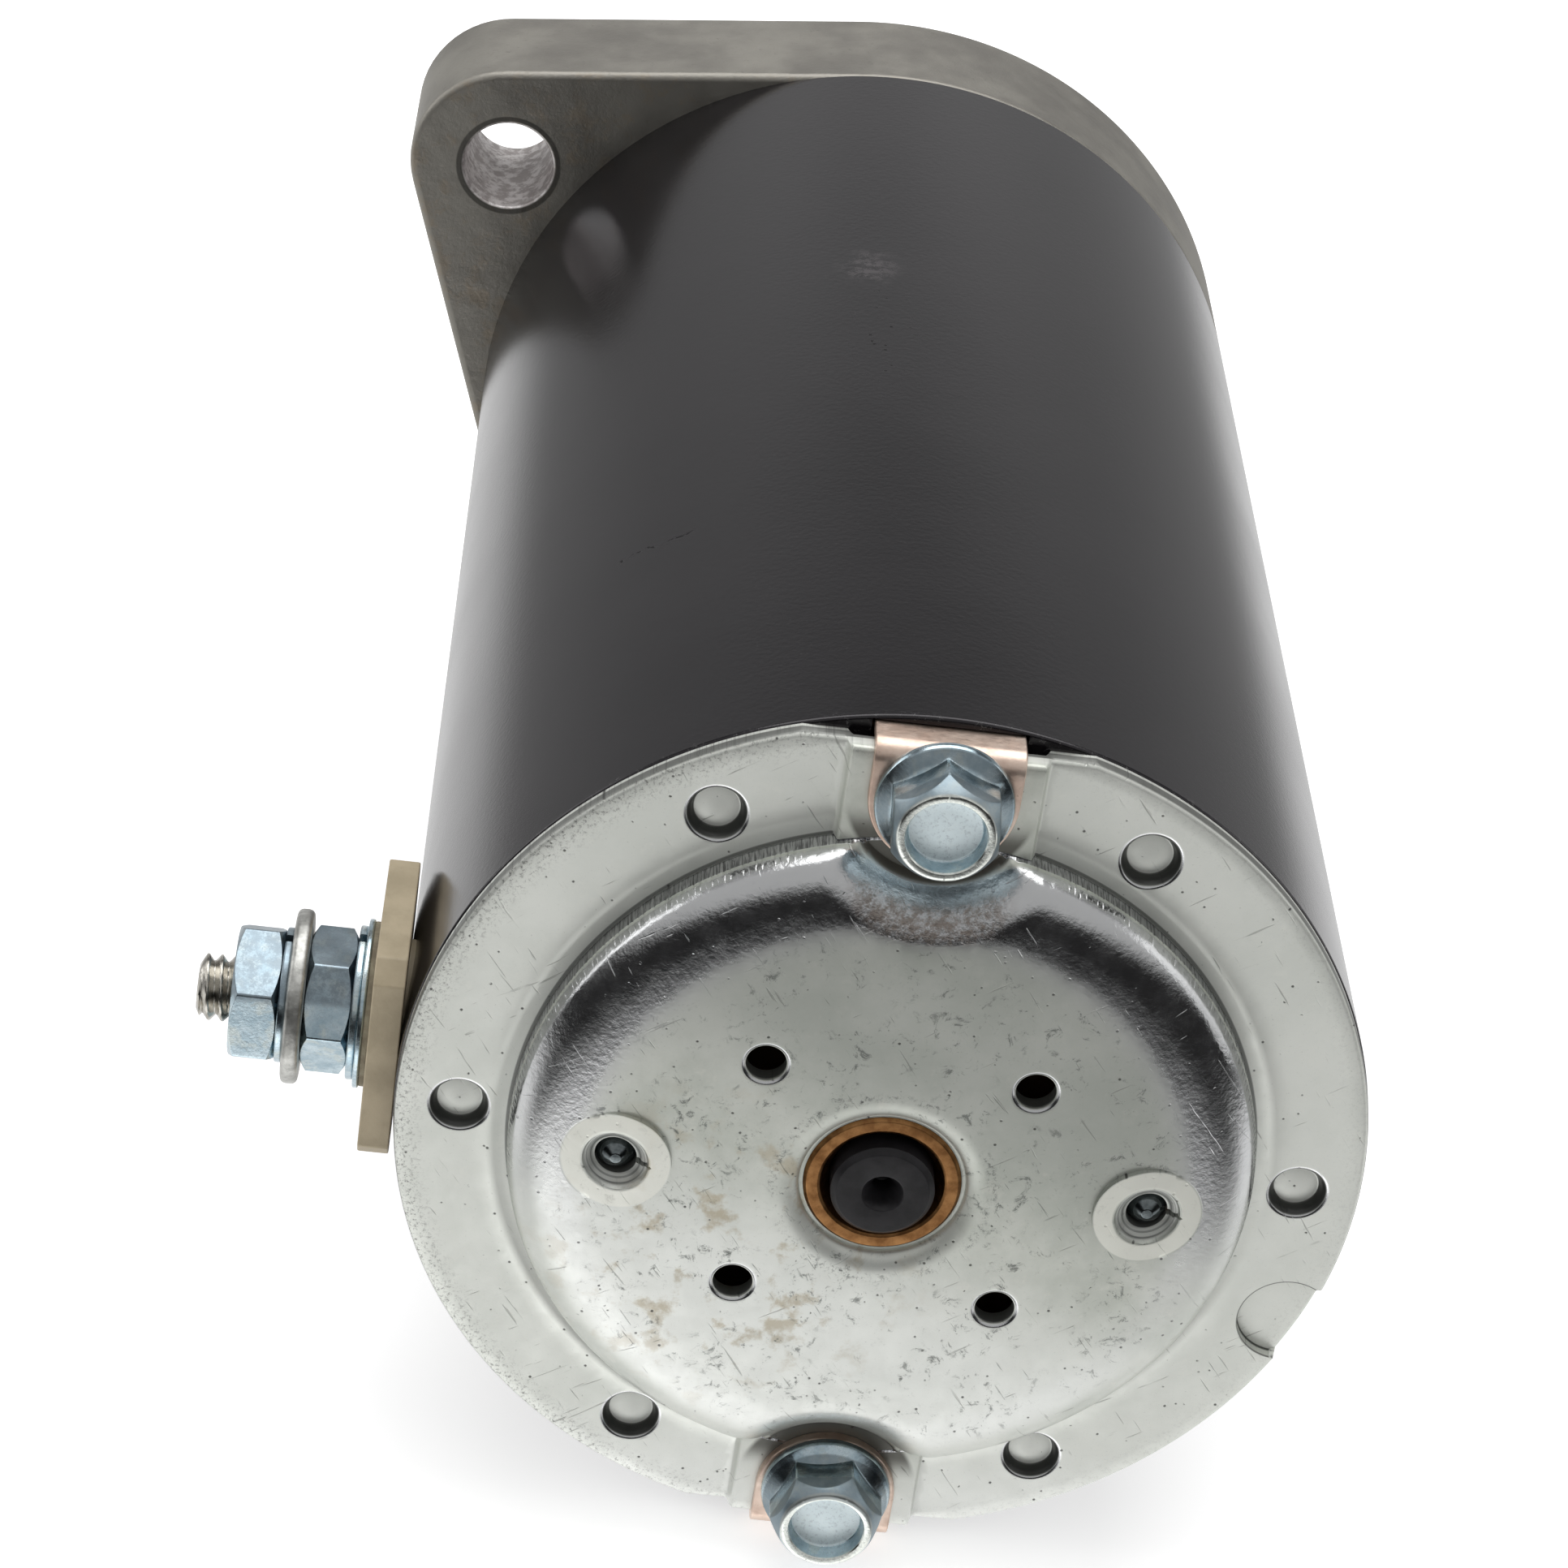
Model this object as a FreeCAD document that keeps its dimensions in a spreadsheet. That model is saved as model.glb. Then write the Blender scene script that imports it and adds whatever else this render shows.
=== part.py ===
import FreeCAD, Part
import math
import os
import Sketcher
from FreeCAD import Placement, Rotation, Vector

# Permanent-magnet inertia-drive starter motor, millimetres.
# +Y runs from the commutator end to the drive end, y = 0 is the engine-side face of the
# mounting flange, +Z is the side of one through bolt and -X the side of the terminal stud.

os.makedirs("parts", exist_ok=True)
doc = FreeCAD.newDocument("starter_motor")

DRIVING = {
    "housing_radius": 44.45, "housing_wall": 2.5, "ring_face": 167.2, "gauge": 1.6,
    "cap_radius": 44.3, "plateau_radius": 33.9, "plateau_rise": 6.4, "wall_height": 1.9,
    "pad_rise": 1.45, "pad_half_width": 8.45, "chord_half": 42.4, "dimple_circle": 38.5,
    "dimple_angle": 29.8, "dimple_radius": 2.35, "dimple_depth": 1.05, "dimple_bump": 1.2,
    "hatch_offset": 12.05, "hatch_radius": 1.83, "lance_offset": 24.1, "lance_radius": 5.0,
    "collar_length": 9.8, "moon_angle": 110.0, "moon_circle": 42.6, "moon_radius": 4.4, "moon_depth": 1.1,
    "bolt_circle": 38.46, "bolt_radius": 3.1, "bolt_washer": 6.25, "bolt_flats": 9.53,
    "bolt_tip": 5.0, "thread_long": 17.0, "thread_pitch": 1.27, "dent_radius": 8.3,
    "tab_half_width": 6.6, "tab_gauge": 1.0, "tab_leg": 14.0,
    "nub_angle": 50.2, "nub_back": 34.0, "nub_long": 6.6, "nub_wide": 5.6, "nub_high": 1.7,
    "flange_thick": 18.0, "ear_offset": 52.4, "ear_radius": 11.4, "ear_turn": 32.24,
    "ear_hole": 5.15, "pilot_radius": 31.75, "pilot_length": 5.0, "spigot_length": 8.0,
    "hub_radius": 12.5, "hub_back": 30.0, "cavity_radius": 33.0, "web": 7.0,
    "bushing_wall": 1.59, "rear_wall": 2.38, "journal_radius": 4.71, "shaft_radius": 6.3, "fit": 0.05,
    "bushing_sink": 0.8, "bushing_length": 9.5,
    "magnet_inner": 32.3, "magnet_arc": 72.0, "magnet_back": 131.0, "magnet_front": 67.0,
    "core_radius": 31.6, "core_back": 128.0, "core_front": 70.0,
    "comm_radius": 15.95, "comm_back": 161.2, "comm_front": 141.5, "riser_radius": 18.2,
    "card_bore": 11.6, "card_radius": 34.5, "card_front": 161.6, "card_thick": 2.4,
    "box_inner": 18.0, "box_outer": 33.0, "box_half": 4.35, "box_height": 15.0,
    "box_wall": 0.8, "spring_coil": 2.3, "spring_thin": 0.25, "lead_radius": 0.8,
    "brush_half": 3.2, "brush_height": 13.0, "brush_tail": 27.5, "brush_gap": 0.3,
    "term_back": 152.55, "stud_radius": 3.1, "stud_tip": 63.6, "nut_flats": 11.9,
    "slab_long": 20.6, "slab_wide": 21.6, "slab_thick": 2.9, "sleeve_radius": 6.4,
    "lead": 45.0, "spline_root": 5.2, "spline_start": 6.5, "spline_end": 66.0,
    "shaft_end": 78.0, "shaft_tail": 174.2, "end_radius": 4.6,
    "nut_back": 9.0, "nut_front": 19.0, "nut_radius": 14.6, "cushion_thick": 2.5,
    "teeth": 11.0, "gear_module": 2.117, "gear_back": 23.0, "gear_front": 40.0,
    "spring_wire": 0.7, "spring_mean": 9.0,
}

sheet = doc.addObject("Spreadsheet::Sheet", "Sizes")
for row, (alias, number) in enumerate(DRIVING.items(), start=1):
    sheet.set(f"A{row}", alias)
    sheet.set(f"B{row}", str(number))
    sheet.setAlias(f"B{row}", alias)
doc.recompute()


class Size:
    """A length or angle that knows its number and how the sheet works it out."""

    def __init__(self, value, text):
        self.value, self.text = float(value), text

    def combine(self, other, sign, value):
        text = other.text if isinstance(other, Size) else repr(float(other))
        return Size(value, f"({self.text} {sign} {text})")

    def __add__(self, other):
        return self.combine(other, "+", self.value + number(other))

    def __sub__(self, other):
        return self.combine(other, "-", self.value - number(other))

    def __mul__(self, other):
        return self.combine(other, "*", self.value * number(other))

    def __truediv__(self, other):
        return self.combine(other, "/", self.value / number(other))

    def __neg__(self):
        return self * -1.0


def number(thing):
    return thing.value if isinstance(thing, Size) else float(thing)


S = {alias: Size(value, f"Sizes.{alias}") for alias, value in DRIVING.items()}
N = {alias: float(sheet.get(alias)) for alias in DRIVING}
FAR_BACK = -N["ring_face"] - 30


def bind(holder, path, size):
    if isinstance(size, Size):
        holder.setExpression(path, size.text)


NODES = {}


def keep(label, thing):
    thing.Label = label
    NODES[label] = thing
    return thing


def new_body(label, node=True):
    body = doc.addObject("PartDesign::Body", label)
    body.Label = label
    if node:
        NODES[label] = body
    return body


def new_sketch(body, role="XY_Plane", offset=0.0):
    """A sketch on one of the body's own planes, moved by offset along its normal."""
    plane = next(o for o in body.Origin.OriginFeatures if o.Role == role)
    sketch = body.newObject("Sketcher::SketchObject", "Profile")
    sketch.AttachmentSupport = [(plane, "")]
    sketch.MapMode = "FlatFace"
    sketch.AttachmentOffset = Placement(Vector(0, 0, number(offset)), Rotation())
    bind(sketch, "AttachmentOffset.Base.z", offset)
    return sketch


def pin_point(sketch, geo, which, x, y):
    for kind, size in (("DistanceX", x), ("DistanceY", y)):
        index = sketch.addConstraint(Sketcher.Constraint(kind, -1, 1, geo, which, number(size)))
        bind(sketch, f"Constraints[{index}]", size)


def polygon(sketch, points):
    start, count = sketch.GeometryCount, len(points)
    flat = [Vector(number(x), number(y), 0) for x, y in points]
    sketch.addGeometry([Part.LineSegment(flat[i], flat[(i + 1) % count]) for i in range(count)])
    for i, (x, y) in enumerate(points):
        after = start + (i + 1) % count
        sketch.addConstraint(Sketcher.Constraint("Coincident", start + i, 2, after, 1))
        pin_point(sketch, start + i, 1, x, y)


def circle(sketch, x, y, radius):
    centre = Vector(number(x), number(y), 0)
    geo = sketch.addGeometry(Part.Circle(centre, Vector(0, 0, 1), number(radius)))
    pin_point(sketch, geo, 3, x, y)
    index = sketch.addConstraint(Sketcher.Constraint("Radius", geo, number(radius)))
    bind(sketch, f"Constraints[{index}]", radius)


def turned(body, points, angle=360.0, cut=False):
    """Revolve (radius, axial) points about Y, centred on the XY plane when partial."""
    sketch = new_sketch(body)
    polygon(sketch, points)
    kind = "PartDesign::Groove" if cut else "PartDesign::Revolution"
    feature = body.newObject(kind, "Turned")
    feature.Profile = sketch
    feature.ReferenceAxis = (sketch, ["V_Axis"])
    feature.Angle = number(angle)
    bind(feature, "Angle", angle)
    if number(angle) < 360.0:
        feature.Midplane = True
    return feature


def ring(label, inner, outer, back, front, node=True):
    body = new_body(label, node)
    turned(body, [(inner, back), (outer, back), (outer, front), (inner, front)])
    return body


def pushed(body, sketch, length, cut=False, both=False):
    """Pad or pocket towards +Y (for sketches on XZ), or evenly to both sides."""
    feature = body.newObject("PartDesign::Pocket" if cut else "PartDesign::Pad", "Pushed")
    feature.Profile = sketch
    feature.Length = number(length)
    bind(feature, "Length", length)
    if both:
        feature.Midplane = True
    elif not cut:
        feature.Reversed = True
    return feature


def across(body, back, front, outlines, cut=False):
    """A prism along Y between two stations; outlines draw on a sketch of x and z."""
    sketch = new_sketch(body, "XZ_Plane", -back)
    for outline in outlines:
        outline(sketch)
    return pushed(body, sketch, front - back, cut)


def disc_at(x, z, radius):
    return lambda sketch: circle(sketch, x, z, radius)


def outline_of(points):
    return lambda sketch: polygon(sketch, points)


def block(x0, x1, z0, z1):
    return outline_of([(x0, z0), (x1, z0), (x1, z1), (x0, z1)])


def hexagon(across_flats, turn=0.0, x=0.0, z=0.0):
    points = []
    for k in range(6):
        angle = math.radians(60 * k + turn)
        reach = across_flats / (2 * math.cos(math.radians(30)))
        points.append((reach * math.cos(angle) + x, reach * math.sin(angle) + z))
    return outline_of(points)


def patterned(body, feature, count):
    axis = next(o for o in body.Origin.OriginFeatures if o.Role == "Y_Axis")
    pattern = body.newObject("PartDesign::PolarPattern", "Around")
    pattern.Originals = [feature]
    pattern.Axis = (axis, [""])
    pattern.Angle = 360
    pattern.Occurrences = int(number(count))
    body.Tip = pattern
    return pattern


def about_y(degrees):
    return Placement(Vector(), Rotation(Vector(0, 1, 0), degrees))


def group(label, source, placements):
    """One node made of separate copies of a modelled piece."""
    links = []
    for placement in placements:
        link = doc.addObject("App::Link", label + "_piece")
        link.LinkedObject = source
        link.Placement = placement
        links.append(link)
    compound = doc.addObject("Part::Compound", label)
    compound.Links = links
    return keep(label, compound)


def solid_feature(label, shape):
    feature = doc.addObject("Part::Feature", label)
    feature.Shape = shape
    return keep(label, feature)


def cylinder(radius, back, front, x=0.0, z=0.0):
    return Part.makeCylinder(radius, front - back, Vector(x, back, z), Vector(0, 1, 0))


def brick(x0, x1, y0, y1, z0, z1):
    return Part.makeBox(x1 - x0, y1 - y0, z1 - z0, Vector(x0, y0, z0))


def spun(points):
    """Solid of revolution about Y; a point with a third entry bulges an arc to the next."""
    edges, count = [], len(points)
    for i in range(count):
        here, there = points[i], points[(i + 1) % count]
        a, b = Vector(here[0], here[1], 0), Vector(there[0], there[1], 0)
        if len(here) > 2:
            edges.append(Part.Arc(a, Vector(*here[2], 0), b).toShape())
        else:
            edges.append(Part.makeLine(a, b))
    face = Part.Face(Part.Wire(edges))
    return face.revolve(Vector(), Vector(0, 1, 0), 360)


# ---------------------------------------------------------------- commutator end cap

def cap_skin(offset):
    """The stamping's filled outline, moved inwards by offset from its outside face."""
    ring_y = -N["ring_face"] + offset
    top_y = -N["ring_face"] - N["plateau_rise"] + offset
    radius = N["plateau_radius"] - offset
    bend = N["plateau_rise"] - N["wall_height"] - offset
    centre = (radius - bend, ring_y - N["wall_height"])
    if offset:
        centre = (centre[0], -N["ring_face"] - N["wall_height"])
        bend = centre[1] - top_y
    half = math.sqrt(0.5)
    middle = (centre[0] + bend * half, centre[1] - bend * half)
    bottom = -N["ring_face"] + N["gauge"]
    points = [(0, bottom), (0, top_y), (centre[0], top_y, middle), (radius, centre[1])]
    if offset:
        points += [(radius, bottom)]
    else:
        points += [(radius, ring_y), (N["cap_radius"], ring_y), (N["cap_radius"], bottom)]
    return spun(points)


def both_ways(side, near, far):
    """Two distances from the axis on one side, in rising order."""
    return sorted((side * near, side * far))


def cap_seats(outer, inner):
    """Raised pads under the two through bolts, and the round dents that clear their heads."""
    gauge, face_y = N["gauge"], -N["ring_face"]
    pad_y = face_y - N["pad_rise"]
    half, hollow_half = N["pad_half_width"], N["pad_half_width"] - 1.2
    pad_start, hollow_start, hollow_end = 30.5, 31.5, 40.4
    for side in (-1, 1):
        z = side * N["bolt_circle"]
        outer = outer.cut(cylinder(N["dent_radius"], FAR_BACK, pad_y, 0, z))
        inner = inner.cut(cylinder(N["dent_radius"] + gauge, FAR_BACK, pad_y + gauge, 0, z))
        low, high = both_ways(side, pad_start, N["chord_half"])
        outer = outer.fuse(brick(-half, half, pad_y, face_y + 0.5, low, high))
        low, high = both_ways(side, hollow_start, hollow_end)
        inner = inner.fuse(brick(-hollow_half, hollow_half, pad_y + gauge, face_y + gauge + 1, low, high))
    return outer.cut(inner)


def cap_collar(shape, top_y):
    """The drawn collar that holds the rear bushing, with its eased lip."""
    bore, lip, lip_depth = N["journal_radius"] + N["fit"] + N["rear_wall"], 1.1, 0.7
    shape = shape.fuse(cylinder(bore + N["gauge"], top_y, top_y + N["collar_length"]))
    shape = shape.cut(cylinder(bore, FAR_BACK, 0))
    above = top_y - 0.01
    eased = spun([(bore - 0.01, above), (bore + lip, above), (bore - 0.01, top_y + lip_depth)])
    return shape.cut(eased)


def cap_lance(shape, top_y, x):
    """A sunken disc with a dished screw hole; its metal stands proud on the inside."""
    sunk, screw_bore, dish_radius, dish_depth = 0.45, 1.9, 3.0, 0.9
    inside = top_y + N["gauge"]
    shape = shape.cut(cylinder(N["lance_radius"], FAR_BACK, top_y + sunk, x))
    shape = shape.fuse(cylinder(N["lance_radius"] - 0.3, inside - 0.1, inside + sunk - 0.05, x))
    shape = shape.cut(cylinder(screw_bore, FAR_BACK, 0, x))
    return shape.cut(Part.makeCone(dish_radius, screw_bore, dish_depth, Vector(x, top_y + sunk - 0.01, 0),
                                   Vector(0, 1, 0)))


def cap_dimple(shape, degrees):
    """A round dimple pressed into the ring, with its bump on the inside."""
    angle, face_y = math.radians(degrees), -N["ring_face"]
    x, z = N["dimple_circle"] * math.sin(angle), N["dimple_circle"] * math.cos(angle)
    inside = face_y + N["gauge"]
    shape = shape.fuse(cylinder(N["dimple_radius"] - 0.25, inside - 0.4, inside + N["dimple_bump"], x, z))
    return shape.cut(cylinder(N["dimple_radius"], FAR_BACK, face_y + N["dimple_depth"], x, z))


def commutator_end_cap():
    top_y = -N["ring_face"] - N["plateau_rise"]
    shape = cap_seats(cap_skin(0.0), cap_skin(N["gauge"]))
    shape = cap_collar(shape, top_y)
    bolt_hole, beyond = N["bolt_radius"] + 0.4, 60
    for side in (-1, 1):
        low, high = both_ways(side, N["chord_half"], beyond)
        shape = shape.cut(brick(-beyond, beyond, FAR_BACK, 0, low, high))
        shape = shape.cut(cylinder(bolt_hole, FAR_BACK, 0, 0, side * N["bolt_circle"]))
        shape = cap_lance(shape, top_y, side * N["lance_offset"])
        for other in (-1, 1):
            hatch = (side * N["hatch_offset"], other * N["hatch_offset"])
            shape = shape.cut(cylinder(N["hatch_radius"], FAR_BACK, 0, *hatch))
        for angle in (N["dimple_angle"], 90, 180 - N["dimple_angle"]):
            shape = cap_dimple(shape, side * angle)
    turn = math.radians(N["moon_angle"])
    moon = (N["moon_circle"] * math.sin(turn), N["moon_circle"] * math.cos(turn))
    shape = shape.cut(cylinder(N["moon_radius"], FAR_BACK, -N["ring_face"] + N["moon_depth"], *moon))
    return solid_feature("commutator_end_cap", shape.removeSplitter())


# ---------------------------------------------------------------- fixed shell

def field_frame():
    body = new_body("field_frame")
    outer, inner = S["housing_radius"], S["housing_radius"] - S["housing_wall"]
    back, front = -S["ring_face"] + S["gauge"], -S["flange_thick"]
    turned(body, [(inner, back), (outer, back), (outer, front), (inner, front)])
    relief, relief_long, relief_deep = S["tab_half_width"] + 0.25, 10.5, S["chord_half"] + 1.25
    for side in (1.0, -1.0):
        sides = sorted(((inner - 1.5) * side, relief_deep * side), key=number)
        across(body, back, back + relief_long, [block(-relief, relief, sides[0], sides[1])], cut=True)
    # clearance hole for the terminal, drilled through the -X wall only
    sketch = new_sketch(body, "YZ_Plane")
    circle(sketch, -S["term_back"], 0.0, S["sleeve_radius"] + 0.1)
    hole = pushed(body, sketch, S["housing_radius"] + 15.0, cut=True)
    hole.Reversed = False
    bump = body.newObject("PartDesign::AdditiveEllipsoid", "Nub")
    buried = 0.35
    sizes = (S["nub_high"] + buried, S["nub_wide"], S["nub_long"])
    for path, size in zip(("Radius1", "Radius2", "Radius3"), sizes):
        setattr(bump, path, number(size))
        bind(bump, path, size)
    reach = N["housing_radius"] - buried
    spin = Rotation(Vector(0, 1, 0), -N["nub_angle"])
    bump.Placement = Placement(spin.multVec(Vector(0, -N["nub_back"], reach)),
                               spin * Rotation(Vector(0, 0, 1), 90))
    trim = new_sketch(body)
    polygon(trim, [(inner - 4, back - 1), (inner, back - 1), (inner, front + 1),
                   (inner - 4, front + 1)])
    clean = body.newObject("PartDesign::Groove", "Clean")
    clean.Profile = trim
    clean.ReferenceAxis = (trim, ["V_Axis"])
    clean.Angle = 360
    return body


def ear_outline(sketch):
    """Two-ear flange: a disc with two smaller discs, joined by their outer tangents."""
    big, small, reach = N["housing_radius"], N["ear_radius"], N["ear_offset"]
    lean = math.acos((big - small) / reach)
    up = Vector(math.cos(lean), math.sin(lean), 0)
    down = Vector(up.x, -up.y, 0)
    axis = Vector(0, 0, 1)
    full = 2 * math.pi
    right, left = Vector(reach, 0, 0), Vector(-reach, 0, 0)

    def mirror(v):
        return Vector(-v.x, v.y, 0)

    def arc(centre, radius, begin, end):
        return Part.ArcOfCircle(Part.Circle(centre, axis, radius), begin, end)

    pieces = [
        arc(right, small, full - lean, full + lean),
        Part.LineSegment(right + up * small, up * big),
        arc(Vector(), big, lean, math.pi - lean),
        Part.LineSegment(mirror(up) * big, left + mirror(up) * small),
        arc(left, small, math.pi - lean, math.pi + lean),
        Part.LineSegment(left + mirror(down) * small, mirror(down) * big),
        arc(Vector(), big, math.pi + lean, full - lean),
        Part.LineSegment(down * big, right + down * small),
    ]
    sketch.addGeometry(pieces)
    for i in range(8):
        sketch.addConstraint(Sketcher.Constraint("Tangent", i, 2, (i + 1) % 8, 1))
    for arc_at, x, size in ((0, S["ear_offset"], S["ear_radius"]), (2, 0.0, S["housing_radius"]),
                            (4, -S["ear_offset"], S["ear_radius"])):
        pin_point(sketch, arc_at, 3, x, 0.0)
        index = sketch.addConstraint(Sketcher.Constraint("Radius", arc_at, number(size)))
        bind(sketch, f"Constraints[{index}]", size)
    sketch.addConstraint(Sketcher.Constraint("Coincident", 6, 3, 2, 3))


def drive_end_frame():
    body = new_body("drive_end_frame")
    back = -S["flange_thick"]
    across(body, back, Size(0.0, "0"), [ear_outline])
    inside = S["housing_radius"] - S["housing_wall"] - 0.02
    turned(body, [(S["cavity_radius"], back - S["spigot_length"]),
                  (inside - 0.6, back - S["spigot_length"]),
                  (inside, back - S["spigot_length"] + 0.6), (inside, back + 1),
                  (S["cavity_radius"], back + 1)])
    turned(body, [(0.0, -1.0), (S["pilot_radius"], -1.0), (S["pilot_radius"], S["pilot_length"] - 0.8),
                  (S["pilot_radius"] - 0.8, S["pilot_length"]), (0.0, S["pilot_length"])])
    turned(body, [(S["hub_radius"] + 0.5, back - 1), (S["cavity_radius"], back - 1),
                  (S["cavity_radius"], -S["web"]), (S["hub_radius"] + 0.5, -S["web"])], cut=True)
    turned(body, [(0.0, -S["hub_back"]), (S["hub_radius"] - 1.0, -S["hub_back"]),
                  (S["hub_radius"] + 0.5, -S["hub_back"] + 1.5),
                  (S["hub_radius"] + 0.5, -S["web"] + 0.5),
                  (0.0, -S["web"] + 0.5)])
    rib = across(body, back, -S["web"] + 0.5, [block(S["hub_radius"] - 1, S["cavity_radius"] + 1, -1.8,
                                                     1.8)])
    patterned(body, rib, 6)
    bore = S["shaft_radius"] + S["fit"] + S["bushing_wall"]
    turned(body, [(0.0, -S["hub_back"] - 1), (bore, -S["hub_back"] - 1),
                  (bore, S["pilot_length"] + 1), (0.0, S["pilot_length"] + 1)], cut=True)
    ears = [disc_at(S["ear_offset"] * side, 0.0, S["ear_hole"]) for side in (1.0, -1.0)]
    across(body, back - 1, Size(1.0, "1"), ears, cut=True)
    # tapped holes of the through bolts, clocked back because the ears set this body's turn
    turn = math.radians(N["ear_turn"])
    taps = [disc_at(S["bolt_circle"] * (-side * math.sin(turn)),
                    S["bolt_circle"] * (side * math.cos(turn)),
                    S["bolt_radius"]) for side in (1.0, -1.0)]
    across(body, back - S["spigot_length"] - 1, -S["bolt_tip"] + 1.0, taps, cut=True)
    body.Placement = about_y(N["ear_turn"])
    return body


def bushings():
    bore, wall = S["journal_radius"] + S["fit"], S["rear_wall"]
    back = -S["ring_face"] - S["plateau_rise"] + S["bushing_sink"]
    front = back + S["bushing_length"]
    lead_in = 0.8
    body = new_body("rear_bushing")
    turned(body, [(bore + lead_in, back), (bore + wall, back), (bore + wall, front), (bore, front),
                  (bore, back + lead_in)])
    bore, wall = S["shaft_radius"] + S["fit"], S["bushing_wall"]
    body = new_body("front_bushing")
    turned(body, [(bore + 0.4, S["pilot_length"]), (bore, S["pilot_length"] - 0.4),
                  (bore, -S["hub_back"] + 2),
                  (bore + wall, -S["hub_back"] + 2), (bore + wall, S["pilot_length"])])


def hex_head(seat, flats, rim, turn):
    """Indented hexagon washer head pointing to -Y from its seat; plain solid."""
    washer_thick, hex_high, dish_deep = 1.1, 5.0, 1.75
    front = seat - washer_thick
    crown = front - hex_high
    edge = flats / 2 - 0.45
    point = flats / 2 / math.cos(math.radians(30))
    washer = spun([(0, seat), (rim - 0.25, seat), (rim, seat - 0.25), (rim, front + 0.3),
                   (rim - 0.3, front),
                   (point, front - 0.9), (0, front - 0.9)])
    blank = spun([(0, front), (point + 0.2, front), (point + 0.2, crown + 1.1), (edge, crown),
                  (0, crown)])
    corners = [Vector(point * math.cos(math.radians(60 * k + turn)), front,
                      point * math.sin(math.radians(60 * k + turn))) for k in range(7)]
    prism = Part.Face(Part.makePolygon(corners)).extrude(Vector(0, crown - front - 1, 0))
    head = washer.fuse(blank.common(prism))
    dish = spun([(0, crown - 0.1), (3.75, crown - 0.1), (3.65, crown + 0.2), (3.35, crown + dish_deep),
                 (0, crown + dish_deep)])
    return head.cut(dish).removeSplitter()


def through_bolts():
    seat = -N["ring_face"] - N["pad_rise"] - N["tab_gauge"]
    solids = []
    for side, turn in ((1, 95.0), (-1, 69.0)):
        start = -N["bolt_tip"] - N["thread_long"]
        shank = cylinder(N["bolt_radius"] - 0.35, seat - 0.5, start)
        root, crest, pitch = N["bolt_radius"] - 0.45, N["bolt_radius"], N["thread_pitch"]
        points = [(0, start), (crest, start)]
        for k in range(int((N["thread_long"] - 1) / pitch)):
            low = start + k * pitch
            points += [(crest, low + 0.2), (root, low + pitch / 2), (crest, low + pitch - 0.2)]
        points += [(crest, -N["bolt_tip"] - 1), (crest - 0.8, -N["bolt_tip"]), (0, -N["bolt_tip"])]
        whole = shank.fuse([hex_head(seat, N["bolt_flats"], N["bolt_washer"], turn), spun(points)])
        whole.translate(Vector(0, 0, side * N["bolt_circle"]))
        solids.append(whole.removeSplitter())
    return solid_feature("through_bolts", Part.makeCompound(solids))


def ground_tabs():
    body = new_body("ground_tab", node=False)
    seat = -S["ring_face"] - S["pad_rise"]
    inner, gauge = S["chord_half"] + 0.05, S["tab_gauge"]
    sketch = new_sketch(body, "YZ_Plane")
    low = S["bolt_circle"] - S["tab_half_width"]
    polygon(sketch, [(seat - gauge, low), (seat - gauge, inner + gauge - 1.0),
                     (seat - gauge + 0.3, inner + gauge - 0.3),
                     (seat - gauge + 1.0, inner + gauge), (seat - gauge + S["tab_leg"], inner + gauge),
                     (seat - gauge + S["tab_leg"], inner), (seat, inner), (seat, low)])
    pushed(body, sketch, S["tab_half_width"] * 2, both=True)
    corner = [(S["tab_half_width"] * x, S["bolt_circle"] - S["tab_half_width"] * z) for x, z in
              ((0.38, 0.925), (0.71, 0.705), (0.925, 0.38), (1.0, 0.0))]
    for side in (1.0, -1.0):
        points = [(x * side, z) for x, z in corner]
        edge = S["tab_half_width"] * (1.3 * side)
        points += [(edge, S["bolt_circle"]), (edge, S["bolt_circle"] - 9), (0.0, S["bolt_circle"] - 9),
                   (0.0, low)]
        across(body, seat - gauge - 1, seat + 1, [outline_of(points)], cut=True)
    across(body, seat - gauge - 1, seat + 1, [disc_at(0.0, S["bolt_circle"], S["bolt_radius"] + 0.3)],
           cut=True)
    return group("ground_tabs", body, [about_y(0), about_y(180)])


def magnets():
    body = new_body("magnet", node=False)
    outer = S["housing_radius"] - S["housing_wall"] - 0.01
    back, front = -S["magnet_back"], -S["magnet_front"]
    inner = S["magnet_inner"]
    turned(body, [(inner + 1, back), (outer, back), (outer, front), (inner + 1, front),
                  (inner, front - 2), (inner, back + 2)], angle=S["magnet_arc"])
    group("magnets", body, [about_y(45 + 90 * k) for k in range(4)])
    clip = new_body("magnet_clip", node=False)
    reach = outer - 0.02
    half = 5.9
    low = S["magnet_inner"] + 2.0
    points = [(low, -half + 1.25), (low, -half + 0.55), (reach - 0.45, -half), (reach - 0.45, half),
              (low, half - 0.55), (low, half - 1.25), (reach - 1.15, half - 0.75),
              (reach - 1.15, -half + 0.75)]
    across(clip, back + 8, front - 8, [outline_of(points)])
    group("magnet_clips", clip, [about_y(0), about_y(180)])


# ---------------------------------------------------------------- brush gear

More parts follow.
